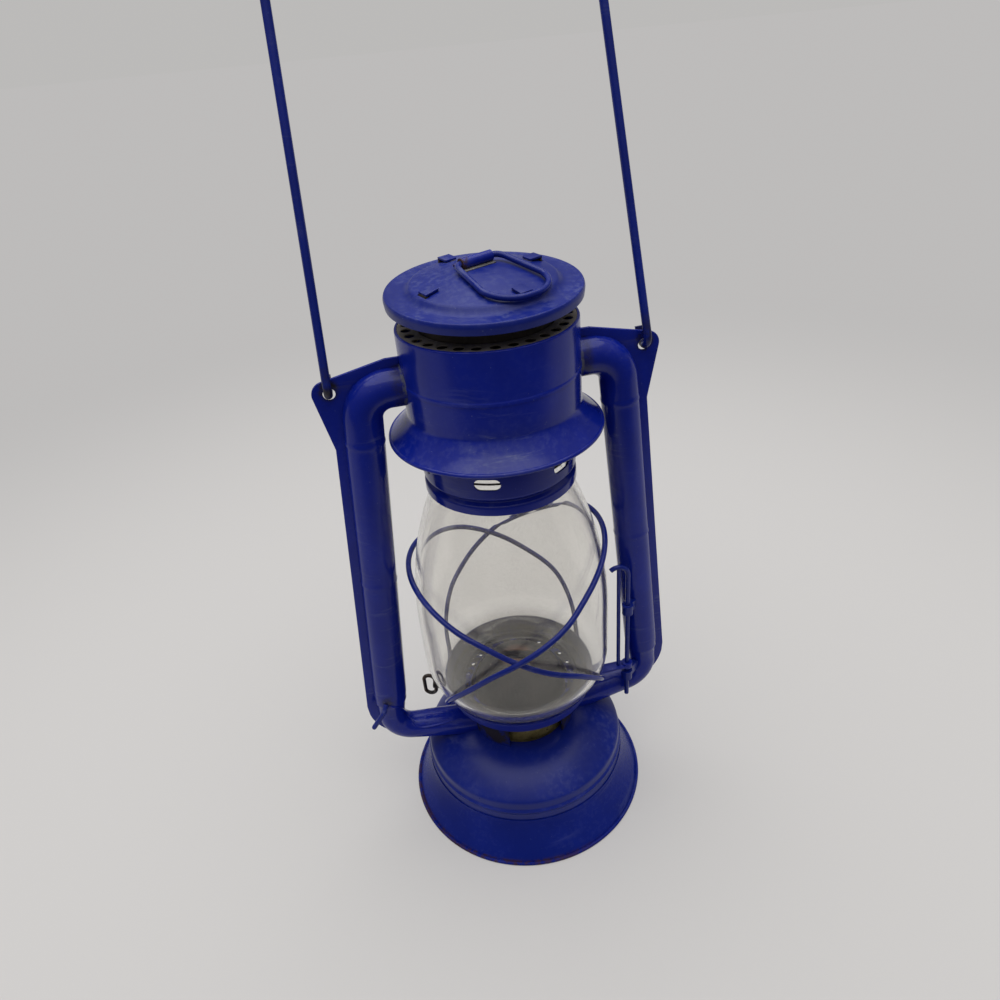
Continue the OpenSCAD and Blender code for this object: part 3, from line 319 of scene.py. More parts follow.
finishes = {
    "tank": blueEnamel("tankEnamel", 0.16, 0.14, 0.26, 1.30, tone="crown"),
    "skirt": blueEnamel("skirtEnamel", 0.10, 0.16, 0.24, 1.14, tone="crown", rust=rimRust),
    "tubes": blueEnamel("tubeEnamel", 0.14, 0.22, grime=jointGrime, solder=jointSolder),
    "drum": blueEnamel("drumEnamel", 0.14, 0.12, grime=jointGrime, solder=jointSolder),
    "canopy": blueEnamel("canopyEnamel", 0.20, 0.18, rubbed=brimRub),
    "bell": blueEnamel("bellEnamel", 0.14, 0.16),
    "cap": blueEnamel("capEnamel", 0.24, 0.14, 0.30, tone="crown"),
    "lug": blueEnamel("lugEnamel", 0.2, 0.2, rust=lugRust),
    "wires": blueEnamel("wireEnamel", 0.12, 0.25, tone="crown", bare=tipWear),
    "bail": blueEnamel("bailEnamel", 0.14, 0.25, tone="crown", grime=hookGrime),
    "plate": blueEnamel("plateEnamel", 0.3, 0.3, 0.30, grime=plateSoot),
    "small": blueEnamel("smallEnamel", 0.16, 0.2, tone="crown"),
    # the air chamber's enamel carries painted shade under the plate
    "chamber": blueEnamel("chamberEnamel", 0.08, 0.1, 0.35, 1.2, tone="crown", grime=chamberPaintedShade),
    "soot": sootySteel("sootySteel", (0.030, 0.024, 0.021, 1), (0.085, 0.066, 0.053, 1)),
    "inlet": sootySteel("inletSteel", (0.13, 0.115, 0.10, 1), (0.27, 0.24, 0.21, 1)),
    "bareEdge": sootySteel("bareEdge", (0.08, 0.078, 0.076, 1), (0.20, 0.19, 0.18, 1)),
    "rustyCone": sootySteel("rustyCone", (0.014, 0.013, 0.014, 1), (0.045, 0.038, 0.036, 1),
                            rusty=(wornSpots["cone"], (0.20, 0.105, 0.062, 1))),
    "steel": darkSteel("darkSteel"),
    "brass": agedBrass("agedBrass"),
    "glass": dustyGlass("dustyGlass"),
    "cotton": wovenCotton("wovenCotton"),
    "rubber": blackRubber("blackRubber"),
}
print("finishes:", len(finishes))


# mesh helpers

def meshFrom(bm, name):
    mesh = bpy.data.meshes.new(name)
    bm.to_mesh(mesh)
    bm.free()
    return mesh


def linked(name, data):  # a new object in the scene
    made = bpy.data.objects.new(name, data)
    bpy.context.scene.collection.objects.link(made)
    return made


def plainMesh(holder):  # what an object looks like once its modifiers are worked out
    bpy.context.view_layer.update()
    graph = bpy.context.evaluated_depsgraph_get()
    return bpy.data.meshes.new_from_object(holder.evaluated_get(graph))


def rounded(path, steps=5):  # corners given as (r, z, how far the rounding reaches)
    out = []
    for i, corner in enumerate(path):
        here = Vector(corner[:2])
        reach = corner[2] if len(corner) > 2 else 0
        if not reach or i in (0, len(path) - 1):
            out.append(here)
            continue
        back, on = Vector(path[i - 1][:2]) - here, Vector(path[i + 1][:2]) - here
        start = here + back.normalized() * min(reach, back.length * 0.48)
        end = here + on.normalized() * min(reach, on.length * 0.48)
        for k in range(steps + 1):
            t = k / steps
            out.append(start * (1 - t) ** 2 + here * 2 * t * (1 - t) + end * t * t)
    return out


def sheetLoop(path, thick):  # a sheet on the left of the path, closed round its two edges
    count = len(path)
    inner = []
    for i in range(count):
        ahead = (path[min(i + 1, count - 1)] - path[min(i, count - 2)]).normalized()
        back = (path[max(i, 1)] - path[max(i - 1, 0)]).normalized()
        side, sideBack = Vector((-ahead.y, ahead.x)), Vector((-back.y, back.x))
        middle = (side + sideBack).normalized()
        inner.append(path[i] + middle * (thick / max(middle.dot(side), 0.4)))
    for point in inner:
        point.x = max(point.x, 0)
    return list(path) + inner[::-1]


def circleLoop(r, z, wire, count=20, floor=None):
    loop = []
    for k in range(count):
        a = math.tau * k / count
        high = z + wire * math.sin(a)
        loop.append(Vector((r + wire * math.cos(a), high if floor is None else max(high, floor))))
    return loop


def lathe(loops, segments=144):  # closed loops of (r, z) turned round the upright axis
    bm = bmesh.new()
    onAxis = 1e-6
    for loop in loops:
        rings = []
        for i in range(segments):
            a = math.tau * i / segments
            rings.append([bm.verts.new((p.x * mm * math.cos(a), p.x * mm * math.sin(a), p.y * mm)) for p in loop])
        for i in range(segments):
            ring, after = rings[i], rings[(i + 1) % segments]
            for k in range(len(loop)):
                l = (k + 1) % len(loop)
                if loop[k].x < onAxis and loop[l].x < onAxis:
                    continue
                if loop[k].x < onAxis:
                    bm.faces.new((ring[k], after[l], ring[l]))
                elif loop[l].x < onAxis:
                    bm.faces.new((ring[k], after[k], ring[l]))
                else:
                    bm.faces.new((ring[k], after[k], after[l], ring[l]))
    bmesh.ops.remove_doubles(bm, verts=bm.verts, dist=1e-7)
    return meshFrom(bm, "turned")


def joined(*meshes):
    bm = bmesh.new()
    for mesh in meshes:
        bm.from_mesh(mesh)
    out = meshFrom(bm, "joined")
    for mesh in meshes:
        bpy.data.meshes.remove(mesh)
    return out


def moved(mesh, matrix):
    mesh.transform(matrix)
    return mesh


def piece(name, mesh, finish, body, node, sharp=32):
    mesh.materials.clear()
    mesh.materials.append(finishes[finish])
    for face in mesh.polygons:
        face.use_smooth = True
        face.material_index = 0
    mesh.set_sharp_from_angle(angle=math.radians(sharp))
    mesh.name = name
    made = linked(name, mesh)
    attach(made, body)
    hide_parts(node)
    return made


def fromCad(node, merge=2e-5):  # a joined-up copy of a CAD node's triangles
    bm = bmesh.new()
    bm.from_mesh(cadNodes[node].data)
    bmesh.ops.remove_doubles(bm, verts=bm.verts, dist=merge)
    mesh = meshFrom(bm, node)
    for layer in list(mesh.attributes):
        if layer.name == "custom_normal":
            mesh.attributes.remove(layer)
    return mesh


# geometry node trees

def treeInput(tree, name, kind, value=None):
    socket = tree.interface.new_socket(name, in_out="INPUT", socket_type=kind)
    if value is not None:
        socket.default_value = value
    return socket.identifier


def newTree(name, inputs):
    tree = bpy.data.node_groups.new(name, "GeometryNodeTree")
    tree.interface.new_socket("Geometry", in_out="OUTPUT", socket_type="NodeSocketGeometry")
    ids = {"Geometry": treeInput(tree, "Geometry", "NodeSocketGeometry")}
    for label, (kind, value) in inputs.items():
        ids[label] = treeInput(tree, label, kind, value)
    source = tree.nodes.new("NodeGroupInput")
    taps = {label: Flow(tree, source.outputs[label]) for label in ["Geometry", *inputs]}
    return tree, ids, taps


def closeTree(tree, flow, material):
    flow = flow.node("GeometryNodeRealizeInstances", None, {0: flow})
    flow = flow.node("GeometryNodeSetMaterial", None, {"Geometry": flow, "Material": material})
    sink = tree.nodes.new("NodeGroupOutput")
    tree.links.new(flow.socket, sink.inputs[0])


def grown(mesh, tree, ids, values):  # the plain mesh that a tree makes from a mesh
    holder = linked("holder", mesh)
    modifier = holder.modifiers.new("grow", "NODES")
    modifier.node_group = tree
    for label, value in values.items():
        modifier[ids[label]] = value
    holder.update_tag()
    out = plainMesh(holder)
    holder.modifiers.remove(modifier)
    bpy.data.objects.remove(holder)
    return out


def bentWireTree():  # a round wire along the edges of a mesh
    tree, ids, tap = newTree("bentWire", {
        "Wire Radius": ("NodeSocketFloat", 0.001), "Sides": ("NodeSocketInt", 16),
        "Material": ("NodeSocketMaterial", None)})
    line = tap["Geometry"].node("GeometryNodeMeshToCurve", None, {0: tap["Geometry"]})
    ring = line.node("GeometryNodeCurvePrimitiveCircle", None,
                     {"Resolution": tap["Sides"], "Radius": tap["Wire Radius"]})
    skin = line.node("GeometryNodeCurveToMesh", None, {0: line, 1: ring, "Fill Caps": True})
    closeTree(tree, skin, tap["Material"])
    return tree, ids


def punchTree():  # holes in a ring, cut with copies of one cutter
    tree, ids, tap = newTree("punchRing", {
        "Holes": ("NodeSocketInt", 12), "Ring Radius": ("NodeSocketFloat", 0.03),
        "Height": ("NodeSocketFloat", 0.0), "Turn": ("NodeSocketFloat", 0.0),
        "Cutter": ("NodeSocketObject", None), "Material": ("NodeSocketMaterial", None)})
    index = tap["Holes"].node("GeometryNodeInputIndex")
    angle = index * math.tau / tap["Holes"] + tap["Turn"]
    east = angle.node("ShaderNodeMath", {"operation": "COSINE"}, {0: angle}) * tap["Ring Radius"]
    north = angle.node("ShaderNodeMath", {"operation": "SINE"}, {0: angle}) * tap["Ring Radius"]
    spot = angle.node("ShaderNodeCombineXYZ", None, {0: east, 1: north, 2: tap["Height"]})
    points = angle.node("GeometryNodePoints", None, {"Count": tap["Holes"], "Position": spot})
    facing = angle.node("ShaderNodeCombineXYZ", None, {2: angle})
    facing = angle.node("FunctionNodeEulerToRotation", None, {0: facing})
    cutter = angle.node("GeometryNodeObjectInfo", {"transform_space": "RELATIVE"}, {0: tap["Cutter"]}, 4)
    copies = angle.node("GeometryNodeInstanceOnPoints", None,
                        {"Points": points, "Instance": cutter, "Rotation": facing})
    copies = angle.node("GeometryNodeRealizeInstances", None, {0: copies})
    cut = angle.node("GeometryNodeMeshBoolean", {"operation": "DIFFERENCE"},
                     {"Mesh 1": tap["Geometry"], "Mesh 2": copies})
    closeTree(tree, cut, tap["Material"])
    return tree, ids


wireTree, wireIds = bentWireTree()
holeTree, holeIds = punchTree()


def wire(points, radius, finish, closed=False, sides=16):  # points in millimetres
    mesh = bpy.data.meshes.new("line")
    count = len(points)
    edges = [(i, i + 1) for i in range(count - 1)] + ([(count - 1, 0)] if closed else [])
    mesh.from_pydata([Vector(p) * mm for p in points], edges, [])
    return grown(mesh, wireTree, wireIds, {"Wire Radius": radius * mm, "Sides": sides,
                                           "Material": finishes[finish]})


def prism(outline, low, high, bevel=0.0):  # outline in x, y; bevelled edges all round
    bm = bmesh.new()
    under = [bm.verts.new((x * mm, y * mm, low * mm)) for x, y in outline]
    over = [bm.verts.new((x * mm, y * mm, high * mm)) for x, y in outline]
    bm.faces.new(under[::-1])
    bm.faces.new(over)
    for i in range(len(outline)):
        j = (i + 1) % len(outline)
        bm.faces.new((under[i], under[j], over[j], over[i]))
    bmesh.ops.recalc_face_normals(bm, faces=bm.faces)
    if bevel:
        edges = [e for e in bm.edges if e.calc_face_angle(0) > math.radians(50)]
        bmesh.ops.bevel(bm, geom=edges, offset=bevel * mm, segments=2, affect="EDGES", profile=0.6)
    return meshFrom(bm, "prism")


def punched(mesh, cutterMesh, holes, ring, height, turn, finish):
    cutter = linked("cutter", cutterMesh)
    bpy.context.view_layer.update()
    out = grown(mesh, holeTree, holeIds, {
        "Holes": holes, "Ring Radius": ring * mm, "Height": height * mm, "Turn": math.radians(turn),
        "Cutter": cutter, "Material": finishes[finish]})
    bpy.data.objects.remove(cutter)
    return out


def arcPoints(centre, radius, first, last, steps, across=(1, 0, 0), up=(0, 1, 0)):  # in the plane of two directions
    out = []
    for k in range(steps + 1):
        a = math.radians(first + (last - first) * k / steps)
        out.append(Vector(centre) + radius * (math.cos(a) * Vector(across) + math.sin(a) * Vector(up)))
    return out


def flatArc(centre, radius, first, last, steps):
    return [p.xy for p in arcPoints((*centre, 0), radius, first, last, steps)]


def disc(radius, count):
    return [(radius * math.cos(math.tau * k / count), radius * math.sin(math.tau * k / count)) for k in range(count)]


def oblong(left, right, front, back):
    return [(left, front), (right, front), (right, back), (left, back)]


# base and tank

skirt = {"foot": 57.15, "bead": 0.8, "top": 20.8, "topRadius": 48.78, "flare": 1.46, "sheet": 0.4}


def skirtRadius(z):
    t = max((skirt["top"] - z) / skirt["top"], 0)
    return skirt["topRadius"] + (skirt["foot"] - skirt["topRadius"]) * t ** skirt["flare"]


def makeSkirt():
    low = skirt["bead"] - 0.1  # the rolled rim is flat underneath
    steps = 26
    heights = [low + (skirt["top"] - low) * i / steps for i in range(steps + 1)]
    flare = [Vector((skirtRadius(z), z)) for z in heights]
    loops = [sheetLoop(flare, skirt["sheet"]), circleLoop(skirt["foot"], low, skirt["bead"], 24, floor=0.0)]
    piece("baseSkirt", lathe(loops, 160), "skirt", "frame", "base_skirt")


tank = {"shoulder": (47.8, 32.0), "foot": 48.3, "wallFoot": 17.8, "land": 23.0, "top": 43.0, "hole": 18.45,
        "beadZ": 26.4, "bead": 0.6, "beadHalf": 1.2, "sheet": 0.8}


def makeTank():
    edge, shoulder = tank["shoulder"]
    foot, beadZ, half, land, top = (tank[key] for key in ("foot", "beadZ", "beadHalf", "land", "top"))
    path = [(foot, tank["wallFoot"]), (foot, beadZ - half, 0.5), (foot + tank["bead"], beadZ, 0.7),
            (edge, beadZ + half, 0.5), (edge, shoulder - 0.2, 1.2)]
    steps = 22
    for i in range(1, steps + 1):
        r = edge - (edge - land) * i / steps
        path.append((r, top - (top - shoulder) * ((r - land) / (edge - land)) ** 2))
    path.append((tank["hole"], top))
    piece("tankDome", lathe([sheetLoop(rounded(path), tank["sheet"])], 160), "tank", "frame", "tank_dome")


makeSkirt()
makeTank()
print("base and tank made")


# side tubes

tube = {"radius": 7.6, "thin": 6.3, "bend": 11.5, "topZ": 223.0, "top": (38.4, 211.5), "low": (51.55, 59.4),
        "taper": 14.0, "sheet": 0.8, "ribs": (203.3, 138.6, 69.4), "rib": 0.25, "ribHalf": 0.75, "dip": 10.0,
        "flare": 1.3, "drumEnd": (33.0, 35.0, 37.0), "drumWall": 33.1, "footEnd": 26.0, "chamberWall": 24.9,
        "sides": 48}
splay = math.atan((tube["low"][0] - tube["top"][0]) / (tube["top"][1] - tube["low"][1]))
legSide = Vector((math.cos(splay), math.sin(splay)))
legTop = Vector(tube["top"]) + tube["bend"] * legSide
legLow = Vector(tube["low"]) + tube["bend"] * legSide


def tubeLine():  # points of the axis in x and z, with the tube's radius there
    line = [(Vector((x, tube["topZ"])), tube["radius"]) for x in tube["drumEnd"]]
    turn = math.degrees(splay)
    line += [(p, tube["radius"]) for p in flatArc(tube["top"], tube["bend"], 90, turn, 14)]
    length = (legTop - legLow).length
    steps = 150
    for i in range(1, steps):
        p = legTop + (legLow - legTop) * i / steps
        left = length * (1 - i / steps)
        t = min(left / tube["taper"], 1)
        radius = tube["thin"] + (tube["radius"] - tube["thin"]) * t * t * (3 - 2 * t)
        for rib in tube["ribs"]:
            radius += tube["rib"] * math.exp(-((p.y - rib) / tube["ribHalf"]) ** 2)
        line.append((p, radius))
    line += [(p, tube["thin"]) for p in flatArc(tube["low"], tube["bend"], turn, tube["dip"] - 90, 24)]
    start = line[-1][0]
    fall = math.tan(math.radians(tube["dip"]))
    steps = 12
    for i in range(1, steps + 1):  # the foot runs down to the tank and widens
        t = i / steps
        along = (start.x - tube["footEnd"]) * t
        line.append((start - Vector((along, along * fall)), tube["thin"] + tube["flare"] * t))
    return line


def tubeMesh():
    line = tubeLine()
    count, sides = len(line), tube["sides"]
    bm = bmesh.new()
    rings = []
    for inset in (0.0, tube["sheet"]):
        order = range(count) if not inset else range(count - 1, -1, -1)
        for i in order:
            p, radius = line[i]
            ahead = (line[min(i + 1, count - 1)][0] - line[max(i - 1, 0)][0]).normalized()
            side = Vector((-ahead.y, ahead.x))
            ring = []
            for k in range(sides):
                a = math.tau * k / sides
                wide = (radius - inset) * math.cos(a)
                deep = (radius - inset) * math.sin(a)
                x, y, z = p.x + side.x * wide, deep, p.y + side.y * wide
                if i == 0:  # cut to the drum's wall, and at the other end to the air chamber's
                    x = math.sqrt(tube["drumWall"] ** 2 - y * y)
                elif i == count - 1:
                    x = math.sqrt(tube["chamberWall"] ** 2 - y * y)
                ring.append(bm.verts.new((x * mm, y * mm, z * mm)))
            rings.append(ring)
    for i in range(len(rings)):
        ring, after = rings[i], rings[(i + 1) % len(rings)]
        for k in range(sides):
            l = (k + 1) % sides
            bm.faces.new((ring[k], ring[l], after[l], after[k]))
    bmesh.ops.recalc_face_normals(bm, faces=bm.faces)
    return meshFrom(bm, "tube")


fin = {"wide": 3.5, "thick": 1.2, "edge": 0.25, "start": 33.5, "inner": 6.0, "root": 5.0, "waist": 12.0, "foot": 5.0,
       "runOut": 55.0, "runWide": 4.2, "runRoot": 3.0, "lug": (60.0, 224.0), "lugShift": 1.3, "lugRadius": 5.0,
       "lugHole": 2.3}


def finMesh():  # flat seam along the tube, widening into the holed lug; drawn in x and z
    out, turn, bend, edge = tube["radius"] + fin["wide"], math.degrees(splay), tube["bend"], fin["edge"]
    down = Vector((math.sin(splay), -math.cos(splay)))
    foot = legLow + out * legSide - down * fin["foot"]
    waist = legTop + out * legSide + down * fin["waist"]
    lugEnd = Vector(fin["lug"]) + Vector((fin["lugShift"], 0))
    outline = [Vector((fin["start"], tube["topZ"] + fin["inner"])), Vector((fin["start"], tube["topZ"] + out)),
               Vector((tube["top"][0], tube["topZ"] + out))]
    outline += flatArc(lugEnd, fin["lugRadius"], 78, -14, 14)
    outline += [waist, foot]
    steps = 14
    for i in range(steps + 1):  # the seam runs out round the elbow
        t = i / steps
        a = math.radians(turn - fin["runOut"] * t)
        r = bend + tube["thin"] + fin["runWide"] * (1 - t) ** 1.3 - 0.2
        outline.append(Vector(tube["low"]) + r * Vector((math.cos(a), math.sin(a))))
    outline += flatArc(tube["low"], bend + fin["runRoot"], turn - fin["runOut"], turn, 8)
    outline += [legTop + legSide * fin["root"]]
    outline += flatArc(tube["top"], bend + fin["root"], turn, 90, 10)
    shape = bpy.data.curves.new("fin", "CURVE")
    shape.dimensions, shape.fill_mode = "2D", "BOTH"
    shape.extrude, shape.bevel_depth, shape.bevel_resolution = (fin["thick"] / 2 - edge) * mm, edge * mm, 2
    shape.offset = -edge * mm
    hole = flatArc(fin["lug"], fin["lugHole"], 0, 352.5, 47)
    for ring in (outline, hole):
        line = shape.splines.new("POLY")
        line.points.add(len(ring) - 1)
        for point, spot in zip(line.points, ring):
            point.co = (spot.x * mm, spot.y * mm, 0, 1)
        line.use_cyclic_u = True
    holder = linked("fin", shape)
    mesh = plainMesh(holder)
    bpy.data.objects.remove(holder)
    mesh.transform(Matrix.Rotation(math.radians(90), 4, "X"))
    bm = bmesh.new()
    bm.from_mesh(mesh)
    bmesh.ops.remove_doubles(bm, verts=bm.verts, dist=1e-6)
    bmesh.ops.recalc_face_normals(bm, faces=bm.faces)
    bm.to_mesh(mesh)
    bm.free()
    return mesh


bead = {  # pressed into the left elbow, from the stub to the foot
    "radius": 0.5,
    "line": ((-63.4, -7.4, 70.9), (-61.6, -7.5, 70.0), (-59.3, -6.5, 68.1), (-57.6, -4.4, 64.1), (-56.4, -1.6, 58.4),
             (-55.2, -2.0, 55.2), (-54.0, -3.8, 53.5), (-52.6, -5.0, 51.9), (-50.3, -5.6, 50.7), (-47.4, -5.8, 50.4),
             (-43.8, -5.7, 50.2), (-39.4, -5.4, 50.1), (-35.0, -5.0, 50.0), (-31.4, -4.9, 49.8)),
}


def curved(points, steps=8):  # a smooth line through the points
    spots = [Vector(p) for p in points]
    spots = [2 * spots[0] - spots[1], *spots, 2 * spots[-1] - spots[-2]]
    out = []
    for a, b, c, d in zip(spots, spots[1:], spots[2:], spots[3:]):
        for k in range(steps):
            t = k / steps
            out.append(0.5 * (2 * b + t * (c - a) + t * t * (2 * a - 5 * b + 4 * c - d)
                              + t ** 3 * (3 * b - a - 3 * c + d)))
    return out + [spots[-2]]


def makeTubes():
    piece("rightTube", joined(tubeMesh(), finMesh()), "tubes", "frame", "right_tube")
    mesh = joined(tubeMesh(), finMesh())
    mesh.transform(Matrix.Scale(-1, 4, (1, 0, 0)))
    mesh.flip_normals()
    ridge = wire(curved(bead["line"]), bead["radius"], "tubes", sides=10)
    piece("leftTube", joined(mesh, ridge), "tubes", "frame", "left_tube")


makeTubes()
print("side tubes made")


# canopy, drum and bell

canopy = {"rim": 41.8, "low": 201.3, "brim": 9.7, "radius": 33.5, "seam": 223.55, "lip": 0.9, "sweep": 1.35,
          "sheet": 0.8}
drum = {"radius": 33.5, "low": 223.6, "top": 243.1, "step": 0.25, "sheet": 0.8}
inlet = {"outer": 32.4, "inner": 25.4, "top": 242.95, "holes": 30, "hole": 1.95, "ring": 29.3, "sheet": 0.4}
bell = {"radius": 30.5, "low": 178.0, "groove": 1.9, "grooveZ": 181.475, "wallTop": 201.0, "cone": 3.0,
        "collar": 25.65, "collarHigh": 2.0, "sheet": 0.8, "slots": 6, "slotWide": 10.0, "slotHigh": 4.6,
        "slotZ": 191.2, "slotTurn": -110.0, "keeper": 0.4}


def makeCanopy():
    r, low, brim = canopy["radius"], canopy["low"], canopy["brim"]
    path = []
    steps = 16
    for i in range(steps + 1):
        t = i / steps
        path.append(Vector((r + (canopy["rim"] - r) * (1 - t) ** canopy["sweep"], low + brim * t)))
    path += [Vector((r, low + brim + 0.6)), Vector((r, canopy["seam"]))]
    loops = [sheetLoop(path, canopy["sheet"]), circleLoop(canopy["rim"] - canopy["lip"], low, canopy["lip"], 18)]
    piece("canopyShell", lathe(loops, 144), "canopy", "frame", "canopy")


def makeDrum():
    r, low, top = drum["radius"], drum["low"], drum["top"]
    wide = r + drum["step"]
    path = [(wide, low), (wide, low + 1.1, 0.3), (r, low + 1.6, 0.3), (r, top - 0.2, 0.7), (r - 0.4, top, 0.3),
            (r - 1.0, top)]
    piece("airDrum", lathe([sheetLoop(rounded(path), drum["sheet"])], 144), "drum", "frame", "air_drum")


def makeInlet():
    top, under = inlet["top"], inlet["top"] - inlet["sheet"]
    path = [Vector((inlet["outer"], under)), Vector((inlet["outer"], top)),
            Vector((inlet["inner"], top)), Vector((inlet["inner"], under))]
    cutter = prism(disc(inlet["hole"], 20), -3, 3)
    mesh = punched(lathe([path], 120), cutter, inlet["holes"], inlet["ring"], top, 0, "inlet")
    piece("inletRing", mesh, "inlet", "frame", "inlet_ring")


def makeBell():
    r, low, deep, z = bell["radius"], bell["low"], bell["groove"], bell["grooveZ"]
    rise = 0.75 * deep
    path = [(r, low), (r, z, 0.7), (r - deep, z + rise, 0.6), (r - deep, z + rise + 0.5, 0.6),
            (r, z + 2 * rise + 0.5, 0.7), (r, bell["wallTop"], 1.0), (r - 1.5, bell["wallTop"] + 1.5, 1.0),
            (bell["collar"], bell["wallTop"] + bell["cone"], 0.6),
            (bell["collar"], bell["wallTop"] + bell["cone"] + bell["collarHigh"])]
    half, cap = (bell["slotWide"] - bell["slotHigh"]) / 2, bell["slotHigh"] / 2
    outline = flatArc((0, half), cap, 0, 180, 10) + flatArc((0, -half), cap, 180, 360, 10)
    cutter = moved(prism(outline, -4, 4), Matrix.Rotation(math.radians(90), 4, "Y"))
    shell = lathe([sheetLoop(rounded(path), bell["sheet"])], 120)
    mesh = punched(shell, cutter, bell["slots"], r, bell["slotZ"], bell["slotTurn"], "bell")
    piece("slottedBell", mesh, "bell", "crown", "bell")
    thin = bell["keeper"]
    keeper = lathe([circleLoop(r - bell["sheet"] - thin, bell["slotZ"] - 0.2, thin, 10)], 96)
    piece("globeKeeper", keeper, "steel", "crown", "bell")


makeCanopy()
makeDrum()
makeInlet()
makeBell()
print("canopy, drum, inlet ring and bell made")


# chimney, cap and finger ring

crown = {"chimney": 24.8, "sheet": 0.8, "foot": 201.75, "top": 247.1, "capZ": 254.7, "lean": 4.0, "yaw": 24.0,
         "capRadius": 35.6, "lip": 3.2, "step": 25.8, "stepHigh": 3.0, "flat": 8.0, "high": 6.5,
         "tabs": 4, "tabWide": 5.0, "tabLong": 5.5, "tabCorner": 0.5, "tabLift": (1.3, 1.3, 0.35, 0.65)}
onCap = (Matrix.Translation((0, 0, crown["capZ"] * mm)) @ Matrix.Rotation(math.radians(crown["lean"]), 4, "X")
         @ Matrix.Rotation(math.radians(crown["yaw"]), 4, "Z"))
capSlope = (crown["high"] - crown["stepHigh"]) / (crown["step"] - crown["flat"])


def crownHeight(r):
    return crown["high"] - (max(r, crown["flat"]) - crown["flat"]) * capSlope


def makeChimney():
    r, thick = crown["chimney"], crown["sheet"]
    wall = [Vector(p) for p in oblong(r - thick, r, crown["foot"], crown["top"])]
    parts, folds = [lathe([wall], 112)], []
    middle = r - thick / 2
    half, long, corner = crown["tabWide"] / 2, crown["tabLong"], crown["tabCorner"]
    lean = math.radians(crown["lean"])
    for i, raised in enumerate(crown["tabLift"]):  # each tab stands through the cap and folds inwards
        turn = 360 * i / crown["tabs"]
        heading = math.radians(crown["yaw"] + turn)
        surface = crown["capZ"] + middle * math.sin(heading) * math.tan(lean) + crownHeight(middle) / math.cos(lean)
        stem = prism(oblong(r - thick, r, -half, half), crown["top"] - 3, surface + 0.5 + raised, 0.15)
        parts.append(moved(stem, Matrix.Rotation(heading, 4, "Z")))
        fold = prism([(-long, -half + corner), (corner - long, -half), (0, -half), (0, half), (corner - long, half),
                      (-long, half - corner)], 0, thick, 0.2)
        spot = (Matrix.Rotation(math.radians(turn), 4, "Z")
                @ Matrix.Translation(((middle + 0.4) * mm, 0, (crownHeight(middle + 1) + 0.1 + raised) * mm))
                @ Matrix.Rotation(math.atan(capSlope) * (1.3 - raised), 4, "Y"))
        folds.append(moved(fold, onCap @ spot))
    piece("chimneyPipe", joined(*parts), "soot", "crown", "chimney")
    piece("chimneyTabs", joined(*folds), "cap", "crown", "chimney")


def makeCap():
    r, step, high = crown["capRadius"], crown["step"], crown["high"]
    path = [(r - 0.3, -crown["lip"]), (r, -0.6, 0.6), (r - 0.5, 0.9, 0.8), (r - 1.7, 0.4, 0.7), (step + 2.4, 0.5, 1.6),
            (step + 0.2, crownHeight(step), 0.9), (crown["flat"], high, 4.0), (0, high)]  # a roll, then the dome
    shell = lathe([sheetLoop(rounded(path), crown["sheet"])], 144)
    half = crown["tabWide"] / 2 + 0.3
    cutter = prism(oblong(-1.0, 0.9, -half, half), -4, 2 * high)
    mesh = punched(shell, cutter, crown["tabs"], crown["chimney"] - crown["sheet"] / 2, 0, 0, "cap")
    piece("domedCap", moved(mesh, onCap), "cap", "crown", "cap")


ring = {"wire": 1.1, "wide": 25.0, "deep": 31.0, "corner": 11.0, "hingeCorner": 3.0, "shift": 0.6, "back": 3.5,
        "hinge": 8.5, "droop": 8.0, "pinch": 0.27, "pinchReach": 16.0}


def makeRing():
    half, near, far, front = ring["wide"] / 2, ring["hingeCorner"], ring["corner"], -ring["deep"]
    line = arcPoints((half - near, -near, 0), near, 90, 0, 8)
    line += arcPoints((half - far, front + far, 0), far, 0, -90, 14)
    line += arcPoints((far - half, front + far, 0), far, -90, -180, 14)
    line += arcPoints((near - half, -near, 0), near, 180, 90, 8)
    for point in line:  # narrower at the hinge
        point.x *= 1 - ring["pinch"] * max(1 + point.y / ring["pinchReach"], 0)
    mesh = wire(line, ring["wire"], "small", closed=True)
    spot = (Matrix.Translation((ring["shift"] * mm, ring["back"] * mm, ring["hinge"] * mm))
            @ Matrix.Rotation(math.radians(ring["droop"]), 4, "X"))
    piece("fingerRing", moved(mesh, onCap @ spot), "small", "ring", "finger_ring")


lug = {"length": 13.0, "sheet": 0.8, "tongue": 3.0, "play": 0.05, "stripWide": 3.0, "strip": 0.32}


def makeRingLug():  # strip rolled round the ring's hinge, its tongue soldered to the cap
    bore, thick = ring["wire"] + lug["play"], lug["sheet"]
    outer = bore + thick
    half = lug["length"] / 2
    tongue = outer + lug["tongue"]
    outline = [Vector((tongue, -outer)), Vector((tongue, thick - outer)), Vector((outer * 0.9, thick - outer))]
    outline += flatArc((0, 0), outer, -36, 262, 34) + flatArc((0, 0), bore, 262, -50, 30) + [Vector((0.4, -outer))]
    mesh = prism(outline, -half, half)
    stand = Matrix(((0, 0, 1, 0), (1, 0, 0, 0), (0, 1, 0, 0), (0, 0, 0, 1)))
    spot = Matrix.Translation((0, ring["back"] * mm, ring["hinge"] * mm)) @ stand
    piece("ringLug", moved(mesh, onCap @ spot), "lug", "crown", "ring_lug")
    strip = prism(oblong(-half, half, -lug["stripWide"], 0), 0, lug["strip"], 0.08)
    spot = Matrix.Translation((0, ring["back"] * mm, crown["high"] * mm))
    piece("lugStrip", moved(strip, onCap @ spot), "bareEdge", "crown", "ring_lug")


makeChimney()
makeCap()
makeRing()
makeRingLug()
print("chimney, cap and ring made")


# globe carriage

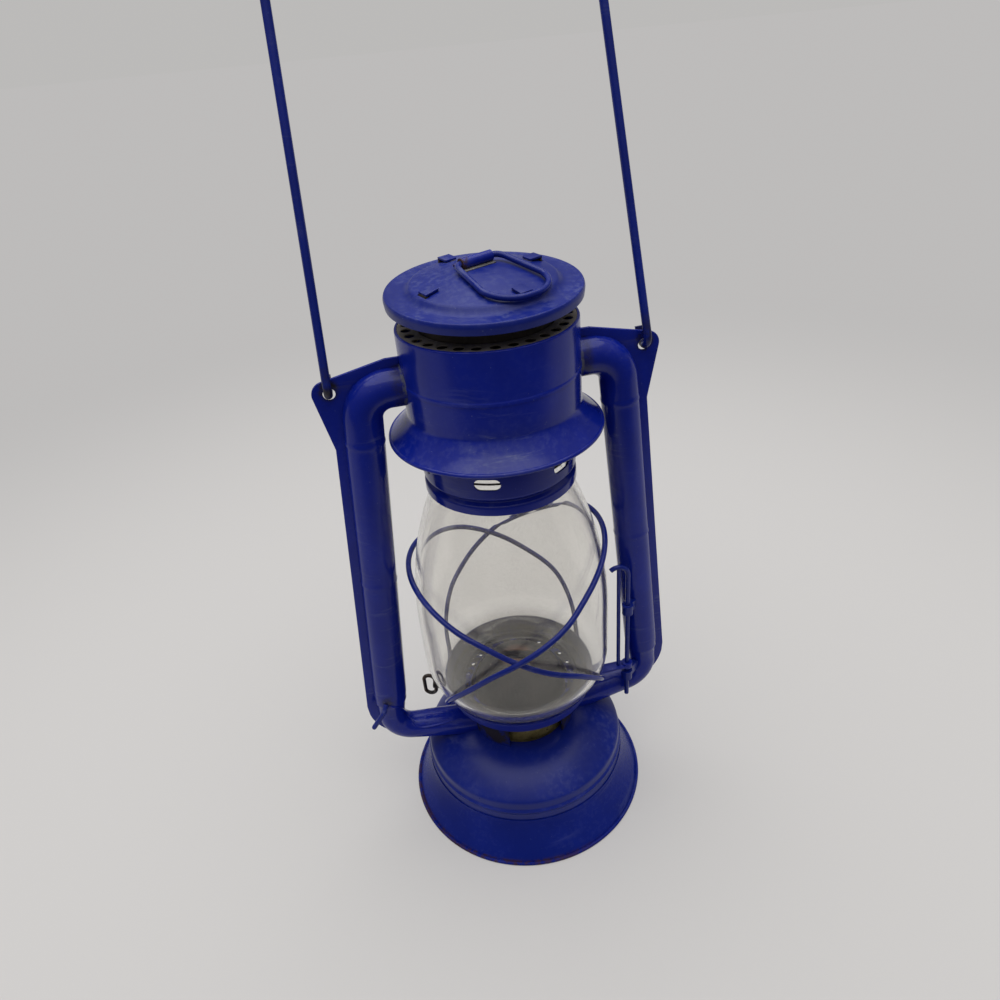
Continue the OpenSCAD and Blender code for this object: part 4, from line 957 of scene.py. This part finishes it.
globe = {"z": 64.6, "high": 117.0, "belly": 42.8, "bellyLow": 24.5, "bellyHigh": 47.4, "foot": 28.5, "footHigh": 2.4,
         "neck": 28.6, "neckHigh": 6.0, "glass": 2.0}


def sweepRadius(across, along):
    return (along * along + across * across) / (2 * across)


lowSweep = sweepRadius(globe["belly"] - globe["foot"], globe["bellyLow"] - globe["footHigh"])
neckZ = globe["high"] - globe["neckHigh"]
highSweep = sweepRadius(globe["belly"] - globe["neck"], neckZ - globe["bellyHigh"])


def arcIn(radius, along):
    return radius - math.sqrt(radius * radius - along * along)


def globeRadius(z):
    up = z - globe["z"]
    if up < globe["bellyLow"]:
        return globe["belly"] - arcIn(lowSweep, min(globe["bellyLow"] - up, globe["bellyLow"] - globe["footHigh"]))
    return globe["belly"] - arcIn(highSweep, min(max(up - globe["bellyHigh"], 0), neckZ - globe["bellyHigh"]))


def makeGlobe():
    steps, straight = 30, 5
    low, high = globe["bellyLow"], globe["bellyHigh"]
    heights = [globe["footHigh"] + (low - globe["footHigh"]) * i / steps for i in range(steps + 1)]
    heights += [low + (high - low) * i / straight for i in range(1, straight)]
    heights += [high + (neckZ - high) * i / steps for i in range(steps + 1)]
    path = [Vector((globe["foot"], 0)), *(Vector((globeRadius(globe["z"] + up), up)) for up in heights),
            Vector((globe["neck"], globe["high"]))]
    loop = [p + Vector((0, globe["z"])) for p in sheetLoop(path, globe["glass"])]
    piece("blownGlobe", lathe([loop], 160), "glass", "carriage", "globe", sharp=50)


plate = {"z": 63.5, "inner": 23.5, "land": 33.6, "rim": 36.4, "high": 7.8, "sheet": 0.8, "roll": 0.42, "holes": 24,
         "hole": 0.9, "earZ": 65.9, "earHalf": 2.5, "boss": 2.6, "bore": 1.15, "liftX": 51.55, "liftY": -9.3}


def makePlate():
    rim, roll, rimZ = plate["rim"], plate["roll"], plate["z"] + plate["high"]
    path = [(plate["inner"], plate["z"]), (plate["land"], plate["z"], 0.8), (rim, rimZ)]
    sheet = lathe([sheetLoop(rounded(path), plate["sheet"])], 144)
    edge = lathe([circleLoop(rim - 0.35, rimZ - roll, roll, 12)], 144)
    cutter = prism(disc(plate["hole"], 12), -3, 3)
    sheet = punched(sheet, cutter, plate["holes"], plate["inner"] + 2, plate["z"], 7.5, "plate")
    x, y, half = plate["liftX"], plate["liftY"], plate["earHalf"]
    start = math.sqrt((rim - 0.6) ** 2 - 7 ** 2) - 0.3  # inside the rim, where the ear leaves it
    ear = [(start, y - half), (x, y - half), *flatArc((x, y), half, -80, 80, 12), (x, y + half), (start - 1.0, y + half)]
    strap = prism(ear, plate["earZ"], plate["earZ"] + 1, 0.2)
    bore, wide = plate["bore"], plate["boss"]
    boss = lathe([rounded([(bore, -1), (wide, -1, 0.4), (wide, 2, 0.4), (bore, 2)])], 28)
    moved(boss, Matrix.Translation((x * mm, y * mm, plate["earZ"] * mm)))
    piece("globePlate", joined(sheet, edge, strap, boss), "plate", "carriage", "globe_plate")


guard = {"wire": 1.2, "gap": 0.65, "middle": 52.0, "swing": 35.0, "dip": 3.5, "drop": 4.3, "turn": 10.0,
         "crossAt": 88.0, "crossReach": 26.0,
         "leftTip": (18.0, 26.0, 37.5, 69.5), "rightTip": (17.0, 26.0, 39.8, 70.0),
         "backTip": (22.0, 36.0, 35.71, 68.0),  # tips as turn from low, run-in, radius and height
         "leftHump": (5.2, 68.0, 25.0), "rightHump": (3.2, 58.0, 14.0)}  # humps as height, turn and width


def smooth(x):
    x = min(max(x, 0), 1)
    return x * x * (3 - 2 * x)


def guardLine(low, over, drop, first, last, hump, count=168):  # from one tip up, over and down to the other
    span = 360 - first[0] - last[0]
    line = []
    for i in range(count + 1):
        d = span * i / count
        t = first[0] + d
        near, left = (first, d) if 2 * d < span else (last, span - d)
        endRadius, endZ = near[2:4]
        along = min(left / near[1], 1)
        s = smooth(along) if near == guard["backTip"] else along * (2 - along)
        bow = over * smooth((guard["crossReach"] - abs(abs(180 - t) - guard["crossAt"])) / 10)
        a = math.radians(t)
        wave = (globe["z"] + guard["middle"] - drop - (guard["swing"] - drop) * math.cos(a)
                - guard["dip"] * math.cos(2 * a))
        front = t if first[0] < last[0] else 360 - t
        wave += hump[0] * math.exp(-((front - hump[1]) / hump[2]) ** 2)
        z = endZ + (wave - endZ) * s
        glassR = globeRadius(z)
        out = endRadius + (glassR + guard["gap"] + 2 * guard["wire"] + bow - endRadius) * s
        r = max(out, glassR + 1.8 * guard["wire"] * (1 - s) + (guard["wire"] + guard["gap"]) * s)
        heading = math.radians(low + t)
        line.append(Vector((r * math.cos(heading), r * math.sin(heading), z)))
    return eased(line)


def eased(line, passes=14):  # the same line without its sharp bends
    for _ in range(passes):
        line = [line[0], *((a + 2 * b + c) / 4 for a, b, c in zip(line, line[1:], line[2:])), line[-1]]
    return line


def makeGuards():
    thick = guard["wire"]
    left = guardLine(180, 1.15 * thick, 0, guard["leftTip"], guard["backTip"], guard["leftHump"])
    right = guardLine(-guard["turn"], -thick, guard["drop"], guard["backTip"], guard["rightTip"], guard["rightHump"])
    piece("guardWireLeft", wire(left, thick, "wires"), "wires", "carriage", "guard_wire_left", 60)
    piece("guardWireRight", wire(right, thick, "wires"), "wires", "carriage", "guard_wire_right", 60)


lift = {"wire": 1.1, "foot": 46.6, "top": 121.0, "hook": 5.0, "strand": 4.4, "strandHigh": 59.3, "thin": 0.9}


def makeLift():
    x, y = plate["liftX"], plate["liftY"]
    line = [(x, y, z) for z in (lift["foot"], 60, 80, 100, lift["top"] - 0.5)]
    line += arcPoints((x - lift["hook"], y, lift["top"]), lift["hook"], 0, 130, 16, up=(0, 0, 1))
    second = [(x - lift["strand"], y, plate["earZ"] + 0.5 + lift["strandHigh"] * k / 12) for k in range(13)]
    mesh = joined(wire(line, lift["wire"], "small"), wire(second, lift["thin"], "small"))
    piece("liftWire", mesh, "small", "carriage", "lift_wire", 60)


makeGlobe()
makePlate()
makeGuards()
makeLift()
print("globe carriage made")


# bail and small wires

bail = {"pivot": 228.0, "hook": 4.0, "wire": 1.6, "side": 125.0, "taper": 2.3, "lean": 18.0, "tail": 3.0}


def makeBail():
    x, taper, hook, side = fin["lug"][0], math.radians(bail["taper"]), bail["hook"], bail["side"]
    arm = [Vector((0, hook, bail["tail"])), Vector((0, hook, bail["tail"] / 2))]
    arm += arcPoints((0, 0, 0), hook, 0, -180, 20, (0, 1, 0), (0, 0, 1))
    arm += [Vector((0, -hook, side * k / 16)) for k in range(1, 16)]
    tilt = Matrix.Rotation(-taper, 3, "Y")
    arm = [tilt @ p + Vector((x, 0, 0)) for p in arm]
    top = (x - side * math.sin(taper)) / math.cos(taper)
    archZ = side * math.cos(taper) - top * math.sin(taper)
    arch = arcPoints((0, -hook, archZ), top, bail["taper"], 180 - bail["taper"], 48, up=(0, 0, 1))
    other = [Vector((-p.x, p.y, p.z)) for p in reversed(arm)]
    mesh = wire(arm + arch + other, bail["wire"], "bail", sides=20)
    spot = Matrix.Translation((0, 0, bail["pivot"] * mm)) @ Matrix.Rotation(math.radians(-bail["lean"]), 4, "X")
    piece("wireBail", moved(mesh, spot), "bail", "bail", "bail", 60)


catch = {"wire": 1.15, "root": (-64.4, -6.8, 71.8), "start": (-66.0, -9.15, 69.6), "end": (-71.81, -9.15, 61.71)}


def makeCatch():  # wire stub with rounded bend and end
    start, end = Vector(catch["start"]), Vector(catch["end"])
    line = [Vector(catch["root"]), *(start + (end - start) * k / 8 for k in range(9))]
    mesh = wire(line, catch["wire"], "small")
    knobs = []
    for spot in (start, end):
        bm = bmesh.new()
        bmesh.ops.create_uvsphere(bm, u_segments=16, v_segments=10, radius=catch["wire"] * mm)
        knobs.append(moved(meshFrom(bm, "knob"), Matrix.Translation(spot * mm)))
    piece("catchWire", joined(mesh, *knobs), "small", "frame", "catch_wire", 60)


makeBail()
makeCatch()
print("bail and wires made")


# pieces whose CAD form is shown, joined up and smoothed

carried = {
    "tank_bottom": ("frame", "tank"), "filler_neck": ("frame", "small"), "burner_collar": ("frame", "brass"),
    "burner_body": ("frame", "brass"), "wick_tube": ("frame", "brass"), "spindle_gland": ("frame", "brass"),
    "burner_cone": ("frame", "rustyCone"), "air_chamber": ("frame", "chamber"), "lift_guides": ("frame", "small"),
    "crown_spring": ("frame", "steel"), "wick_spindle": ("winder", "steel"), "spur_wheels": ("winder", "steel"),
    "wick_key": ("winder", "steel"), "wick": ("wick", "cotton"), "filler_gasket": ("filler_seal", "rubber"),
    "filler_cap": ("filler_lid", "small"),
}
for node, (body, finish) in carried.items():
    words = node.split("_")
    name = words[0] + ("".join(w.capitalize() for w in words[1:]) or "Strip")  # never a node's own name
    made = piece(name, fromCad(node), finish, body, node)
    if node == "crown_spring":
        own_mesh(made)
print("carried-over pieces:", len(carried))


# floor, light and camera

stage = {"reach": 30.0, "near": (0.66, 0.648, 0.638, 1), "far": (0.51, 0.50, 0.495, 1), "farAt": (0.25, 0.80),
         "shade": (0.10, 0.098, 0.096, 1), "shadeAt": (0.17, 0.42), "lit": 0.4}


def makeFloor():
    paper = Surface("paper")
    away = paper.x.span(paper.y).rise(*stage["farAt"]) * (1 - stage["lit"]) + stage["lit"]
    front = (0 - paper.y).rise(*stage["shadeAt"]) * (1 - paper.inView())  # painted shade in front, seen in reflections and bounced light alone
    sheet = paper.shader({"Base Color": front.tint(stage["near"], stage["shade"]), "Roughness": 0.85})
    beyond = paper.node("ShaderNodeEmission", None, {"Color": front.tint(stage["far"], stage["shade"])})
    mixed = paper.node("ShaderNodeMixShader", None, {0: away, 1: sheet, 2: beyond})
    mesh = bpy.data.meshes.new("floor")
    r = stage["reach"]
    mesh.from_pydata([(x, y, 0) for x, y in oblong(-r, r, -r, r)], [], [(0, 1, 2, 3)])
    mesh.materials.append(paper.done(mixed))
    floor = linked("floor", mesh)


light = {"overhead": (-0.05, 0.05, 1.7), "aim": (0, 0, 0.1), "size": 2.4, "power": 24.0, "skyLow": 0.14,
         "skyHigh": 0.75, "horizon": 0.5, "warmth": (1.0, 0.985, 0.97, 1)}


def makeLight():
    lamp = bpy.data.lights.new("overhead", "AREA")
    lamp.shape, lamp.size, lamp.energy = "DISK", light["size"], light["power"]
    holder = linked("overhead", lamp)
    holder.location = light["overhead"]
    holder.rotation_mode = "QUATERNION"
    holder.rotation_quaternion = (Vector(light["aim"]) - holder.location).to_track_quat("-Z", "Y")
    world = bpy.data.worlds.new("studio")
    bpy.context.scene.world = world
    world.use_nodes = True
    world.node_tree.nodes.clear()
    sky = Flow(world.node_tree)
    way = sky.node("ShaderNodeTexCoord", out=0)
    depth, height = (sky.node("ShaderNodeSeparateXYZ", None, {0: way}, i) for i in (1, 2))
    glow = height.rise(0.2, 0.95) * (light["skyHigh"] - light["skyLow"]) + light["skyLow"]
    glow = glow.most(height.size().fall(0.04, 0.18) * depth.rise(-0.2, 0.3) * light["horizon"])
    glow = glow.most(sky.inView() * light["horizon"])
    shade = sky.node("ShaderNodeBackground", None, {"Color": glow.tint((0, 0, 0, 1), light["warmth"])})
    out = world.node_tree.nodes.new("ShaderNodeOutputWorld")
    world.node_tree.links.new(shade.socket, out.inputs[0])


lens = {"place": (-45.3, -257.9, 330.0), "heading": 9.68, "pitch": 32.08, "roll": -5.41, "focal": 26.88,
        "sensor": 36}


def makeCamera():
    h, p, roll = (math.radians(lens[key]) for key in ("heading", "pitch", "roll"))
    ahead = Vector((math.sin(h) * math.cos(p), math.cos(h) * math.cos(p), -math.sin(p)))
    level = Vector((math.cos(h), -math.sin(h), 0))
    over = level.cross(ahead)
    right = math.cos(roll) * level + math.sin(roll) * over
    up = -math.sin(roll) * level + math.cos(roll) * over
    data = bpy.data.cameras.new("camera")
    data.lens, data.sensor_width = lens["focal"], lens["sensor"]
    data.clip_start, data.clip_end = 0.01, 100
    camera = linked("camera", data)
    turn = Matrix((right, up, -ahead)).transposed().to_4x4()
    camera.matrix_world = Matrix.Translation(Vector(lens["place"]) * mm) @ turn
    bpy.context.scene.camera = camera


makeFloor()
makeLight()
makeCamera()
bpy.context.scene.view_settings.view_transform = "Standard"
print("floor, light and camera set")
